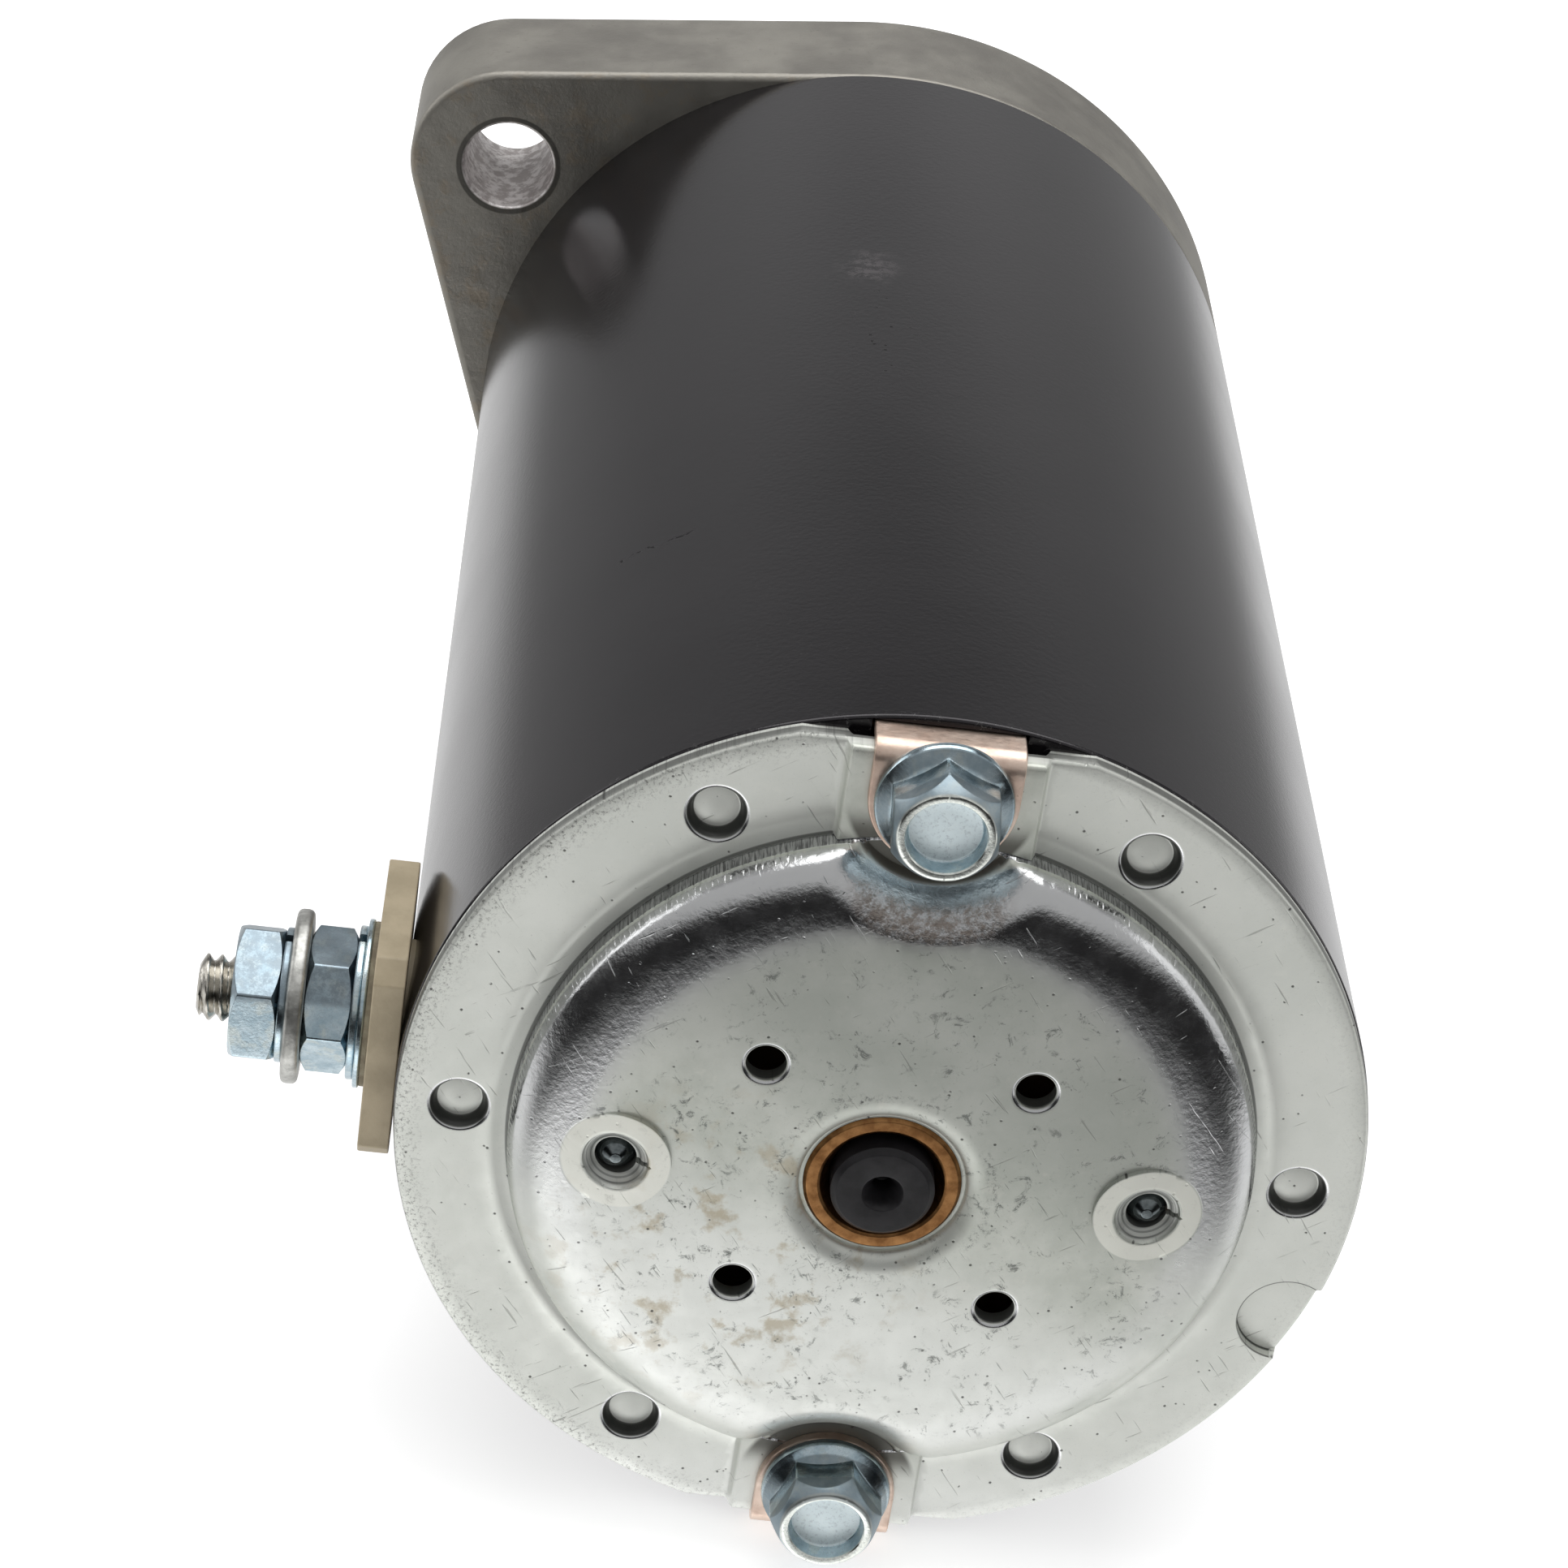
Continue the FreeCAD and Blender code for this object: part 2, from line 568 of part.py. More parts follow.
def brush_card():
    body = new_body("brush_card")
    front = -S["card_front"]
    back = front - S["card_thick"]
    turned(body, [(S["card_bore"], back), (S["card_radius"], back), (S["card_radius"], front),
                  (S["card_bore"], front)])
    top = -S["ring_face"] - S["plateau_rise"] + S["gauge"] + 0.4
    posts = [disc_at(S["lance_offset"] * side, 0.0, 4.2) for side in (1.0, -1.0)]
    across(body, top, back + 0.5, posts)
    holes = [disc_at(S["lance_offset"] * side, 0.0, 1.95) for side in (1.0, -1.0)]
    across(body, top - 1, front + 1, holes, cut=True)
    return body


def brush_card_screws():
    body = new_body("brush_card_screw", node=False)
    front = -S["card_front"]
    tip = -S["ring_face"] - S["plateau_rise"] + 0.55
    turned(body, [(0.0, tip), (1.2, tip), (1.85, tip + 0.7), (1.85, front), (3.6, front),
                  (3.6, front + 1.4), (2.9, front + 2.3), (0.0, front + 2.3)])
    across(body, front + 1.1, front + 3, [block(-3.8, 3.8, -0.45, 0.45)], cut=True)
    places = [Placement(Vector(side * N["lance_offset"], 0, 0), Rotation()) for side in (1, -1)]
    return group("brush_card_screws", body, places)


def brush_boxes():
    body = new_body("brush_box", node=False)
    back = -S["card_front"]
    front = back + S["box_height"]
    half, wall = S["box_half"], S["box_wall"]
    across(body, back, front, [block(S["box_inner"], S["box_outer"], -half, half)])
    across(body, back + wall, front - 0.7, [block(S["box_inner"] - 1, S["box_outer"] - wall,
                                                  -half + 1.0, half - 1.0)],
           cut=True)
    across(body, back + 4, front - 3, [block(S["box_inner"] + 4, S["box_outer"] - 3, half - 2,
                                             half + 1)], cut=True)
    return group("brush_boxes", body, [about_y(45 + 90 * k) for k in range(4)])


def brushes():
    back = -S["card_front"] + 1.0
    front = back + S["brush_height"]
    for k in range(4):
        body = new_body(f"brush_{k + 1}")
        half = S["brush_half"]
        across(body, back, front, [block(S["comm_radius"] - 1, S["brush_tail"], -half, half)])
        curve = S["comm_radius"] + S["brush_gap"]
        turned(body, [(0.0, back - 1), (curve, back - 1), (curve, front + 1), (0.0, front + 1)],
               cut=True)
        body.Placement = about_y(-45 - 90 * k)


def coil(mean, wire, length, turns, sides=0):
    """Open coil along +Z from z = 0; a fine wire is given flat sides, a thick one is round."""
    pitch = (length - 2 * wire) / turns
    helix = Part.makeHelix(pitch, pitch * turns, mean)
    section = Part.Wire(Part.makeCircle(wire, Vector(mean, 0, 0),
                                        Vector(0, 1, pitch / (2 * math.pi * mean))))
    if sides:
        section = Part.makePolygon(section.discretize(sides + 1))
    body = Part.Wire(helix).makePipeShell([section], True, True)
    body.translate(Vector(0, 0, wire))
    return body


def brush_springs():
    solids = []
    middle = -N["card_front"] + 1.0 + N["brush_height"] / 2
    clear = 0.2
    start = N["brush_tail"] + clear
    length = N["box_outer"] - N["box_wall"] - clear - start
    for k in range(4):
        spring = coil(N["spring_coil"], N["spring_thin"], length, turns=4, sides=12)
        spring.rotate(Vector(), Vector(0, 1, 0), 90)
        spring.translate(Vector(start, middle, 0))
        spring.rotate(Vector(), Vector(0, 1, 0), 45 + 90 * k)
        solids.append(spring)
    return solid_feature("brush_springs", Part.makeCompound(solids))


def tube_along(points, radius):
    """A flexible lead: a round section swept along a smooth curve through the points."""
    curve = Part.BSplineCurve()
    curve.interpolate([Vector(*p) for p in points])
    tangent = curve.tangent(curve.FirstParameter)[0]
    section = Part.Wire(Part.makeCircle(radius, Vector(*points[0]), tangent))
    return Part.Wire(curve.toShape()).makePipeShell([section], True, True)


def brush_leads():
    """Pigtails: the two -X brushes to the terminal strap, the two +X ones to the ground tabs."""
    y = -N["card_front"] + 7.5
    beside = N["box_half"] + N["lead_radius"] + 0.05
    middle, clear = 25.5, 2.55
    diagonal = math.sqrt(0.5)
    strap_x, strap_z = -37.8, 5.75
    tab_x, tab_z = 2.5, 41.6
    out = []
    for sx, sz in ((-1, 1), (-1, -1), (1, 1), (1, -1)):
        along = Vector(sx * diagonal, 0, sz * diagonal)
        side = Vector(-diagonal, 0, sz * diagonal * sx)
        if sx < 0:
            end = (strap_x, y + 1.0, sz * strap_z)
            knee = along * 33.0 + side * (beside + clear)
        else:
            end = (sx * tab_x, y - 4.2, sz * tab_z)
            knee = along * 31.5 + side * (beside + clear)
        start = along * middle + side * beside
        out.append(tube_along([(start.x, y, start.z), (knee.x, y - 1.5, knee.z), end],
                              N["lead_radius"]))
    return solid_feature("brush_leads", Part.makeCompound(out))


# ---------------------------------------------------------------- terminal
# Built along +Y and then turned to point to -X.

def at_terminal():
    return Placement(Vector(0, -N["term_back"], 0), Rotation(Vector(0, 0, 1), 90))


def terminal():
    wall = S["housing_radius"] - S["housing_wall"]
    skin = S["housing_radius"]
    slab_top = skin + S["slab_thick"]
    radius = S["stud_radius"]

    slab = new_body("terminal_insulator")
    long, wide, nip = S["slab_long"] / 2, S["slab_wide"] / 2, 1.9
    corners = [(-long + nip, -wide), (long - nip, -wide), (long, -wide + nip), (long, wide - nip),
               (long - nip, wide), (-long + nip, wide), (-long, wide - nip), (-long, -wide + nip)]
    across(slab, skin, slab_top, [outline_of(corners)])
    across(slab, skin - 1, slab_top + 1, [disc_at(0.0, 0.0, radius + 0.1)], cut=True)

    ring("terminal_sleeve", radius + 0.1, S["sleeve_radius"], wall - 0.6, skin)
    inner = new_body("terminal_inner_insulator")
    across(inner, wall - 2.2, wall - 0.6, [block(-7.5, 7.5, -7.0, 7.0)])
    across(inner, wall - 3, wall, [disc_at(0.0, 0.0, radius + 0.1)], cut=True)

    strap = new_body("terminal_strap")
    across(strap, wall - 3.2, wall - 2.2, [block(-5.0, 5.0, -6.5, 6.5)])
    across(strap, wall - 4, wall, [disc_at(0.0, 0.0, radius + 0.1)], cut=True)

    stud = new_body("terminal_stud")
    across(stud, wall - 6.4, wall - 3.2, [block(-4.7, 4.7, -4.7, 4.7)])
    tip, root, pitch = S["stud_tip"], radius - 0.42, N["thread_pitch"]
    points = [(0.0, wall - 3.5), (radius, wall - 3.5), (radius, slab_top + 0.5)]
    turns = int((number(tip) - number(slab_top) - 1.2) / pitch)
    for k in range(turns):
        low = slab_top + (0.5 + k * pitch)
        points += [(radius, low + 0.2), (root, low + pitch / 2), (radius, low + (pitch - 0.2))]
    points += [(radius, tip - 0.6), (radius - 0.6, tip), (0.0, tip)]
    turned(stud, points)

    bore = radius + 0.15
    station = slab_top
    for label, outer, thick, gap in (("terminal_fibre_washer", 7.7, 0.6, 0.0),
                                     ("terminal_flat_washer", 7.9, 0.55, 0.0),
                                     ("terminal_lock_washer", 7.2, 0.75, 0.9),
                                     ("terminal_nut_inner", None, 4.35, 0.0),
                                     ("terminal_outer_washer", 8.15, 1.6, 0.0),
                                     ("terminal_outer_lock_washer", 6.3, 0.75, 0.9),
                                     ("terminal_nut_outer", None, 4.35, 0.0)):
        end = station + thick
        if outer:
            body = ring(label, bore, Size(outer, str(outer)), station, end)
            if gap:
                across(body, station - 1, end + 1, [block(0.0, 12.0, -gap / 2, gap / 2)], cut=True)
        else:
            body = new_body(label)
            turn = 0.0 if label.endswith("inner") else 30.0
            across(body, station, end, [hexagon(N["nut_flats"], turn)])
            corner = N["nut_flats"] / 2 / math.cos(math.radians(30))
            for low, high, sign in ((station, station + 0.7, 1.0), (end, end - 0.7, -1.0)):
                turned(body, [(corner - 1.1, low), (corner + 1, low), (corner + 1, high),
                              (corner + 0.05, high)],
                       cut=True)
            across(body, station - 1, end + 1, [disc_at(0.0, 0.0, radius)], cut=True)
        station = end
    for label in list(NODES):
        if label.startswith("terminal_"):
            NODES[label].Placement = at_terminal()


# ---------------------------------------------------------------- armature

def spline_section(tip, root, y):
    """Six-lobed closed outline in the plane y, centred on the axis."""
    corners = []
    for k in range(6):
        for radius, angle in ((root, -19), (tip, -11), (tip, 0), (tip, 11), (root, 19), (root, 30)):
            theta = math.radians(60 * k + angle)
            corners.append(Vector(radius * math.cos(theta), y, radius * math.sin(theta)))
    return Part.makePolygon(corners + corners[:1])


def twisted(tip, root, back, front):
    """A splined bar along Y that turns once per lead, right-handed."""
    length = front - back
    spine = Part.Wire(Part.makeLine(Vector(0, 0, 0), Vector(0, 0, length)))
    guide = Part.Wire(Part.makeHelix(N["lead"], length, tip))
    phase = 360.0 * back / N["lead"]
    flat = []
    for vertex in spline_section(tip, root, 0).Vertexes[:36]:
        flat.append(Vector(vertex.Point.x, vertex.Point.z, 0))
    section = Part.makePolygon(flat + flat[:1])
    sweep = Part.BRepOffsetAPI.MakePipeShell(spine)
    sweep.setAuxiliarySpine(guide, True, 0)
    sweep.add(section)
    sweep.build()
    sweep.makeSolid()
    bar = sweep.shape()
    bar.rotate(Vector(), Vector(0, 0, 1), phase)
    bar.rotate(Vector(), Vector(1, 0, 0), -90)
    bar.translate(Vector(0, back, 0))
    return bar


def armature_shaft():
    journal, main, end = N["journal_radius"], N["shaft_radius"], N["end_radius"]
    tail, start, stop, tip = -N["shaft_tail"], N["spline_start"], N["spline_end"], N["shaft_end"]
    shoulder = -N["comm_back"] - 0.6
    plain = spun([(0, tail), (journal - 0.5, tail), (journal, tail + 0.5), (journal, shoulder),
                  (main - 0.4, shoulder), (main, shoulder + 0.4), (main, start - 0.6),
                  (main - 0.6, start), (0, start)])
    nose = spun([(0, stop - 1), (end, stop - 1), (end, tip - 0.8), (end - 0.8, tip), (0, tip)])
    bar = twisted(main - 0.02, N["spline_root"], start - 0.7, stop)
    centre = spun([(0, tail - 0.1), (1.9, tail - 0.1), (0.9, tail + 1.6), (0.9, tail + 3.4),
                   (0, tail + 3.9)])
    shape = plain.fuse([bar, nose]).cut(centre)
    return solid_feature("armature_shaft", shape.removeSplitter())


def armature_core():
    body = new_body("armature_core")
    back, front = -S["core_back"], -S["core_front"]
    outer = S["core_radius"]
    turned(body, [(S["shaft_radius"], back), (outer, back), (outer, front), (S["shaft_radius"], front)])
    points = [(19.0, -1.8), (29.0, -3.9), (29.8, -1.2), (outer + 1, -1.2),
              (outer + 1, 1.2), (29.8, 1.2), (29.0, 3.9), (19.0, 1.8)]
    slot = across(body, back - 1, front + 1, [outline_of(points)], cut=True)
    patterned(body, slot, 16)
    plate = new_body("core_insulator", node=False)
    turned(plate, [(S["shaft_radius"], back - 0.8), (outer - 1.4, back - 0.8), (outer - 1.4, back),
                   (S["shaft_radius"], back)])
    cut = across(plate, back - 2, back + 1, [outline_of([(18.7, -1.6), (32.0, -4.3), (32.0, 4.3),
                                                         (18.7, 1.6)])],
                 cut=True)
    patterned(plate, cut, 16)
    shift = S["core_back"] - S["core_front"] + 0.8
    group("core_insulators", plate, [Placement(), Placement(Vector(0, number(shift), 0), Rotation())])


def armature_windings():
    back, front = -N["core_back"] - 0.85, -N["core_front"] + 0.85
    bars = []
    for k in range(16):
        turn = math.radians(22.5 * k)
        flat = [(19.2, -1.5), (28.6, -3.5), (28.6, 3.5), (19.2, 1.5), (19.2, -1.5)]
        corners = [Vector(x * math.cos(turn) - z * math.sin(turn), back - 1,
                          x * math.sin(turn) + z * math.cos(turn))
                   for x, z in flat]
        bars.append(Part.Face(Part.makePolygon(corners)).extrude(Vector(0, front - back + 2, 0)))
    coils, high = [], 11.2
    for end, away in ((back, -0.92), (front, 1.0)):
        crown = high * away
        coils.append(spun([(9.0, end), (28.3, end), (29.2, end + 0.15 * crown), (28.4, end + 0.58 * crown),
                           (22.0, end + 0.92 * crown), (13.0, end + crown), (9.0, end + 0.92 * crown)]))
    return solid_feature("armature_windings", coils[0].fuse(bars + coils[1:]))


def commutator():
    hub = S["comm_radius"] - 3.4
    back, front = -S["comm_back"], -S["comm_front"]
    body = new_body("commutator_hub")
    turned(body, [(S["shaft_radius"], back - 0.6), (hub - 2, back - 0.6), (hub, back + 1), (hub, front),
                  (hub - 1, front + 1), (S["shaft_radius"], front + 1)])
    bar = new_body("commutator_bar", node=False)
    outer, riser = S["comm_radius"], S["riser_radius"]
    turned(bar, [(hub, back + 1), (hub + 0.4, back), (outer - 0.4, back), (outer, back + 0.4),
                 (outer, front - 1.8), (riser, front - 1.8), (riser, front), (hub, front)], angle=20.6)
    group("commutator_bars", bar, [about_y(22.5 * k) for k in range(16)])


def armature_washers():
    rear = -S["comm_back"] - 0.6
    hub = -S["hub_back"]
    back = new_body("rear_thrust_washer")
    outer, thick = Size(7.4, "7.4"), 1.2
    turned(back, [(S["journal_radius"], rear - thick), (outer, rear - thick), (outer, rear),
                  (S["journal_radius"], rear)])
    ring("front_thrust_washer", S["shaft_radius"], Size(11.0, "11"), hub - 2.0, hub - 0.4)
    ring("shaft_snap_ring", S["shaft_radius"], Size(8.6, "8.6"), hub - 3.4, hub - 2.0)


# ---------------------------------------------------------------- inertia drive

def drive_nut():
    back, front, outer = N["nut_back"], N["nut_front"], N["nut_radius"]
    blank = spun([(0, back), (outer - 1, back), (outer, back + 1), (outer, front - 0.6),
                  (outer - 0.6, front), (0, front)])
    bore = twisted(N["shaft_radius"] + 0.3, N["spline_root"] + 0.3, back - 1, front + 1)
    shape = blank.cut(bore)
    pocket, pocket_circle = 1.6, 11.0
    for k in range(3):
        turn = math.radians(120 * k)
        shape = shape.cut(cylinder(pocket, back + 2, front + 1, pocket_circle * math.cos(turn),
                                   pocket_circle * math.sin(turn)))
    return solid_feature("drive_nut", shape)


def pinion():
    hub, hub_back = Size(13.4, "13.4"), S["nut_front"] + S["cushion_thick"]
    ring("drive_cushion", Size(7.4, "7.4"), Size(14.2, "14.2"), S["nut_front"], hub_back)
    body = new_body("pinion")
    module, teeth = S["gear_module"], S["teeth"]
    pitch_radius = module * teeth / 2
    tip, root = pitch_radius + module, pitch_radius - module * 1.25
    bore, back, front = S["shaft_radius"] + 0.35, S["gear_back"], S["gear_front"]
    turned(body, [(bore, hub_back), (hub, hub_back), (hub, back), (tip, back), (tip, front - 2.0),
                  (root + 1.0, front), (bore + 0.5, front), (bore, front - 0.5)])
    radius, step = number(pitch_radius), 360.0 / N["teeth"]
    base = radius * math.cos(math.radians(20))
    half_tooth = math.radians(step / 4)

    def involute(r):
        roll = math.acos(base / r) if r > base else 0.0
        return math.tan(roll) - roll

    flank = []
    for k in range(6):
        r = max(base, number(root)) + k * (number(tip) + 0.3 - max(base, number(root))) / 5
        half = half_tooth + involute(radius) - involute(r)
        gap = math.radians(step / 2) - half
        flank.append((r * math.cos(gap), r * math.sin(gap)))
    low = number(root)
    gap = math.atan2(flank[0][1], flank[0][0]) * 0.8
    floor = [(low * math.cos(gap), -low * math.sin(gap)), (low * math.cos(gap), low * math.sin(gap))]
    flank.append((flank[-1][0] + 2.0, flank[-1][1]))
    points = [(x, -z) for x, z in reversed(flank)] + floor + flank
    space = across(body, back, front + 1, [outline_of(points)], cut=True)
    patterned(body, space, teeth)


def drive_spring():
    start, end = N["gear_front"] + 2.1, N["spline_end"] - 0.1
    spring = coil(N["spring_mean"], N["spring_wire"], end - start, turns=6)
    spring.rotate(Vector(), Vector(1, 0, 0), -90)
    spring.translate(Vector(0, start, 0))
    solid_feature("anti_drift_spring", spring)
    follower = new_body("spring_follower")
    back = S["gear_front"] + 0.4
    bore = S["shaft_radius"] + 0.35
    rim, cup = Size(11.2, "11.2"), Size(10.3, "10.3")
    turned(follower, [(bore, back), (rim, back), (rim, back + 3.4), (cup, back + 3.4),
                      (cup, back + 1.6), (bore, back + 1.6)])
    stop = new_body("spring_stop")
    low = S["spline_end"]
    rim, cup = Size(11.6, "11.6"), Size(10.4, "10.4")
    turned(stop, [(S["end_radius"], low), (cup, low), (cup, low - 2.6), (rim, low - 2.6),
                  (rim, low + 1.8), (S["end_radius"], low + 1.8)])
    nut = new_body("shaft_end_nut")
    station, end_y = low + 1.8, low + 8.3
    flats = 14.3
    across(nut, station, end_y, [hexagon(flats)])
    corner = flats / 2 / math.cos(math.radians(30))
    turned(nut, [(corner - 1.2, end_y), (corner + 1, end_y), (corner + 1, end_y - 0.75),
                 (corner + 0.05, end_y - 0.75)],
           cut=True)
    across(nut, station - 1, end_y + 1, [disc_at(0.0, 0.0, S["end_radius"])], cut=True)


shell = (commutator_end_cap, field_frame, drive_end_frame, bushings, through_bolts, ground_tabs, magnets)
brush_gear = (brush_card, brush_card_screws, brush_boxes, brushes, brush_springs, brush_leads, terminal)
armature = (armature_shaft, armature_core, armature_windings, commutator, armature_washers)
drive = (drive_nut, pinion, drive_spring)
for build in shell + brush_gear + armature + drive:
    build()
doc.recompute()

problems = []
for thing in doc.Objects:
    if "Invalid" in thing.State or "Error" in thing.State:
        problems.append(f"{thing.Label} {thing.Name}: {thing.State}")
for label, thing in NODES.items():
    shape = thing.Shape
    if shape.isNull() or not shape.isValid() or not shape.Solids:
        problems.append(f"{label}: bad shape")
if problems:
    raise RuntimeError("; ".join(problems))

for label, thing in NODES.items():
    thing.Shape.exportStep(f"parts/{label}.step")
    box = thing.Shape.BoundBox
    spans = [(box.XMin, box.XMax), (box.YMin, box.YMax), (box.ZMin, box.ZMax)]
    reach = " ".join(f"{low:8.2f} {high:8.2f}" for low, high in spans)
    print(f"{label:30s} solids {len(thing.Shape.Solids):3d} volume {thing.Shape.Volume:10.1f} xyz {reach}")
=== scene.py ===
import math
from types import SimpleNamespace

import bmesh
import bpy
import numpy as np
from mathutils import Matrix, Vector
from mathutils.geometry import delaunay_2d_cdt


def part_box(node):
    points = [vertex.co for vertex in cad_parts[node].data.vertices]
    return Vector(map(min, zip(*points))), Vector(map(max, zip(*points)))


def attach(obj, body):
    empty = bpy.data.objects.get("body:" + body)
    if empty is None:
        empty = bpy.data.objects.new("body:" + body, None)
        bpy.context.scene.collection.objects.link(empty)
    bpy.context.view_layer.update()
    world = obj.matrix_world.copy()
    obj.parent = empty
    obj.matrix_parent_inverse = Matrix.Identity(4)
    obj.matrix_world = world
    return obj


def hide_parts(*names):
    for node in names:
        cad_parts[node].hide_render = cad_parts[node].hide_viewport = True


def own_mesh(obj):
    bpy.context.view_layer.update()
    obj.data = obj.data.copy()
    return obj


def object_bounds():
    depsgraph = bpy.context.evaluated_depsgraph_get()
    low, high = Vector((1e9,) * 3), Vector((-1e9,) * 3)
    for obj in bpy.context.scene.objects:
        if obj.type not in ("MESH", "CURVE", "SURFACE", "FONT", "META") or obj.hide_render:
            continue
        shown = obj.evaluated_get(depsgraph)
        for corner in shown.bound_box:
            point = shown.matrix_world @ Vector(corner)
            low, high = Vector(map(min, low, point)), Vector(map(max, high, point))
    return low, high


# Looks of a permanent-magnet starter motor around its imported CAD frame.
# Shapes are worked out in millimetres in the CAD's own frame: +Y to the drive end, y = 0 on
# the flange's engine-side face, +Z through one through bolt, the terminal stud on -X.

MM = 0.001
TURN = 2 * math.pi
WELD = 0.002 * MM
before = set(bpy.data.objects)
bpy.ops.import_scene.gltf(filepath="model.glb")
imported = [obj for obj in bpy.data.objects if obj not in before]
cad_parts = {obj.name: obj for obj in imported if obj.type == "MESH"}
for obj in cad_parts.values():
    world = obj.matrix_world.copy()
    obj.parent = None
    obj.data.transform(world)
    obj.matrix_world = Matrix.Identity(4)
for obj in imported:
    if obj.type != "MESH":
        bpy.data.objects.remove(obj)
cad_low, cad_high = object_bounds()


def corner(node, end, axis):
    """One coordinate of a CAD node's box, in millimetres; end 0 is low and 1 is high."""
    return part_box(node)[end][axis] / MM


# ------------------------------------------------------------------ stations read from the frame
TUBE_R = corner("field_frame", 1, 2)
TUBE_BACK = corner("field_frame", 0, 1)
TUBE_FRONT = corner("field_frame", 1, 1)
TUBE_WALL = 2.5
GAUGE = 1.6
RING_Y = TUBE_BACK - GAUGE
CAP_R = corner("commutator_end_cap", 1, 0)
CHORD = corner("commutator_end_cap", 1, 2)
PLATEAU_Y = corner("commutator_end_cap", 0, 1)
RISE = RING_Y - PLATEAU_Y
BOLT_Z = 38.46
HEAD_Y = corner("through_bolts", 0, 1)
BOLT_TIP = corner("through_bolts", 1, 1)
TAB_Y = corner("ground_tabs", 0, 1)
TERM_Y = (corner("terminal_nut_inner", 0, 1) + corner("terminal_nut_inner", 1, 1)) / 2
NUT_IN = corner("terminal_nut_inner", 1, 0)
LANCE_X = 24.1


# ------------------------------------------------------------------ the pressed end cap's sizes
WALL_R, WALL_H, FLAT_R, DOME, FULLNESS = 33.9, 1.9, 29.4, 0.7, 13.0
PAD_H, PAD_X, PAD_RAMP = 1.45, 8.45, 0.55
DENT_R, DENT_SLOPE, DENT_BLEND = 7.9, 1.7, 4.5
DIMPLE_R, DIMPLE_CIRCLE, DIMPLE_DEEP = 2.35, 38.5, 1.35
DIMPLES = [(DIMPLE_CIRCLE * math.sin(math.radians(a)), DIMPLE_CIRCLE * math.cos(math.radians(a)))
           for a in (29.8, 90, 150.2, -29.8, -90, -150.2)]
HATCHES = [(12.05 * sx, 12.05 * sz) for sx in (1, -1) for sz in (1, -1)]
HATCH_R, LANCE_R, SCREW_HOLE, DISH_R = 1.83, 5.0, 1.9, 3.05
MOON_R, MOON_DEEP = 4.4, 1.1
MOON = (42.6 * math.sin(math.radians(110)), 42.6 * math.cos(math.radians(110)))
BUSH_R = corner("rear_bushing", 1, 0) + 0.02
BUSH_LIP, BUSH_EDGE, BUSH_SINK = 9.5, 7.5, 1.15
BOLT_HOLE = 3.5
EAR_AT, EAR_R, EAR_TURN, EAR_HOLE = 52.4, 11.4, math.radians(32.24), 5.15


# ------------------------------------------------------------------ material nodes

class Value:
    """A shader socket that takes part in sums and products like a number."""

    def __init__(self, nodes, socket):
        self.nodes = nodes
        self.socket = socket

    def __add__(self, other):
        return self.nodes.math("ADD", self, other)

    def __sub__(self, other):
        return self.nodes.math("SUBTRACT", self, other)

    def __rsub__(self, other):
        return self.nodes.math("SUBTRACT", other, self)

    def __mul__(self, other):
        return self.nodes.math("MULTIPLY", self, other)

    def __truediv__(self, other):
        return self.nodes.math("DIVIDE", self, other)

    def __pow__(self, other):
        return self.nodes.math("POWER", self, other)

    def __abs__(self):
        return self.nodes.math("ABSOLUTE", self)


class Nodes:
    """A small writer of shader nodes; a value is a Value or a plain number or colour."""

    def __init__(self, tree, coordinates):
        self.tree = tree
        self.place = Value(self, self.node("ShaderNodeTexCoord").outputs[coordinates])

    def node(self, kind, **settings):
        made = self.tree.nodes.new(kind)
        for key, value in settings.items():
            setattr(made, key, value)
        return made

    def give(self, socket, value):
        if isinstance(value, Value):
            self.tree.links.new(value.socket, socket)
        else:
            socket.default_value = value

    def filled(self, made, values, output=0):
        """Feed a node's first inputs and return one of its outputs."""
        for socket, value in zip(made.inputs, values):
            self.give(socket, value)
        return Value(self, made.outputs[output])

    def math(self, operation, *values):
        return self.filled(self.node("ShaderNodeMath", operation=operation), values)

    def most(self, a, b):
        return self.math("MAXIMUM", a, b)

    def vector(self, operation, *values, output="Vector"):
        return self.filled(self.node("ShaderNodeVectorMath", operation=operation), values, output)

    def away(self, a, b):
        return self.vector("DISTANCE", a, b, output="Value")

    def split(self):
        made = self.node("ShaderNodeSeparateXYZ")
        self.give(made.inputs[0], self.place)
        return [Value(self, made.outputs[axis]) for axis in "XYZ"]

    def join(self, x, y, z):
        return self.filled(self.node("ShaderNodeCombineXYZ"), (x, y, z))

    def band(self, value, low, high, out_low=0.0, out_high=1.0):
        """Smooth step of a value from low to high."""
        made = self.node("ShaderNodeMapRange", interpolation_type="SMOOTHSTEP")
        return self.filled(made, (value, low, high, out_low, out_high))


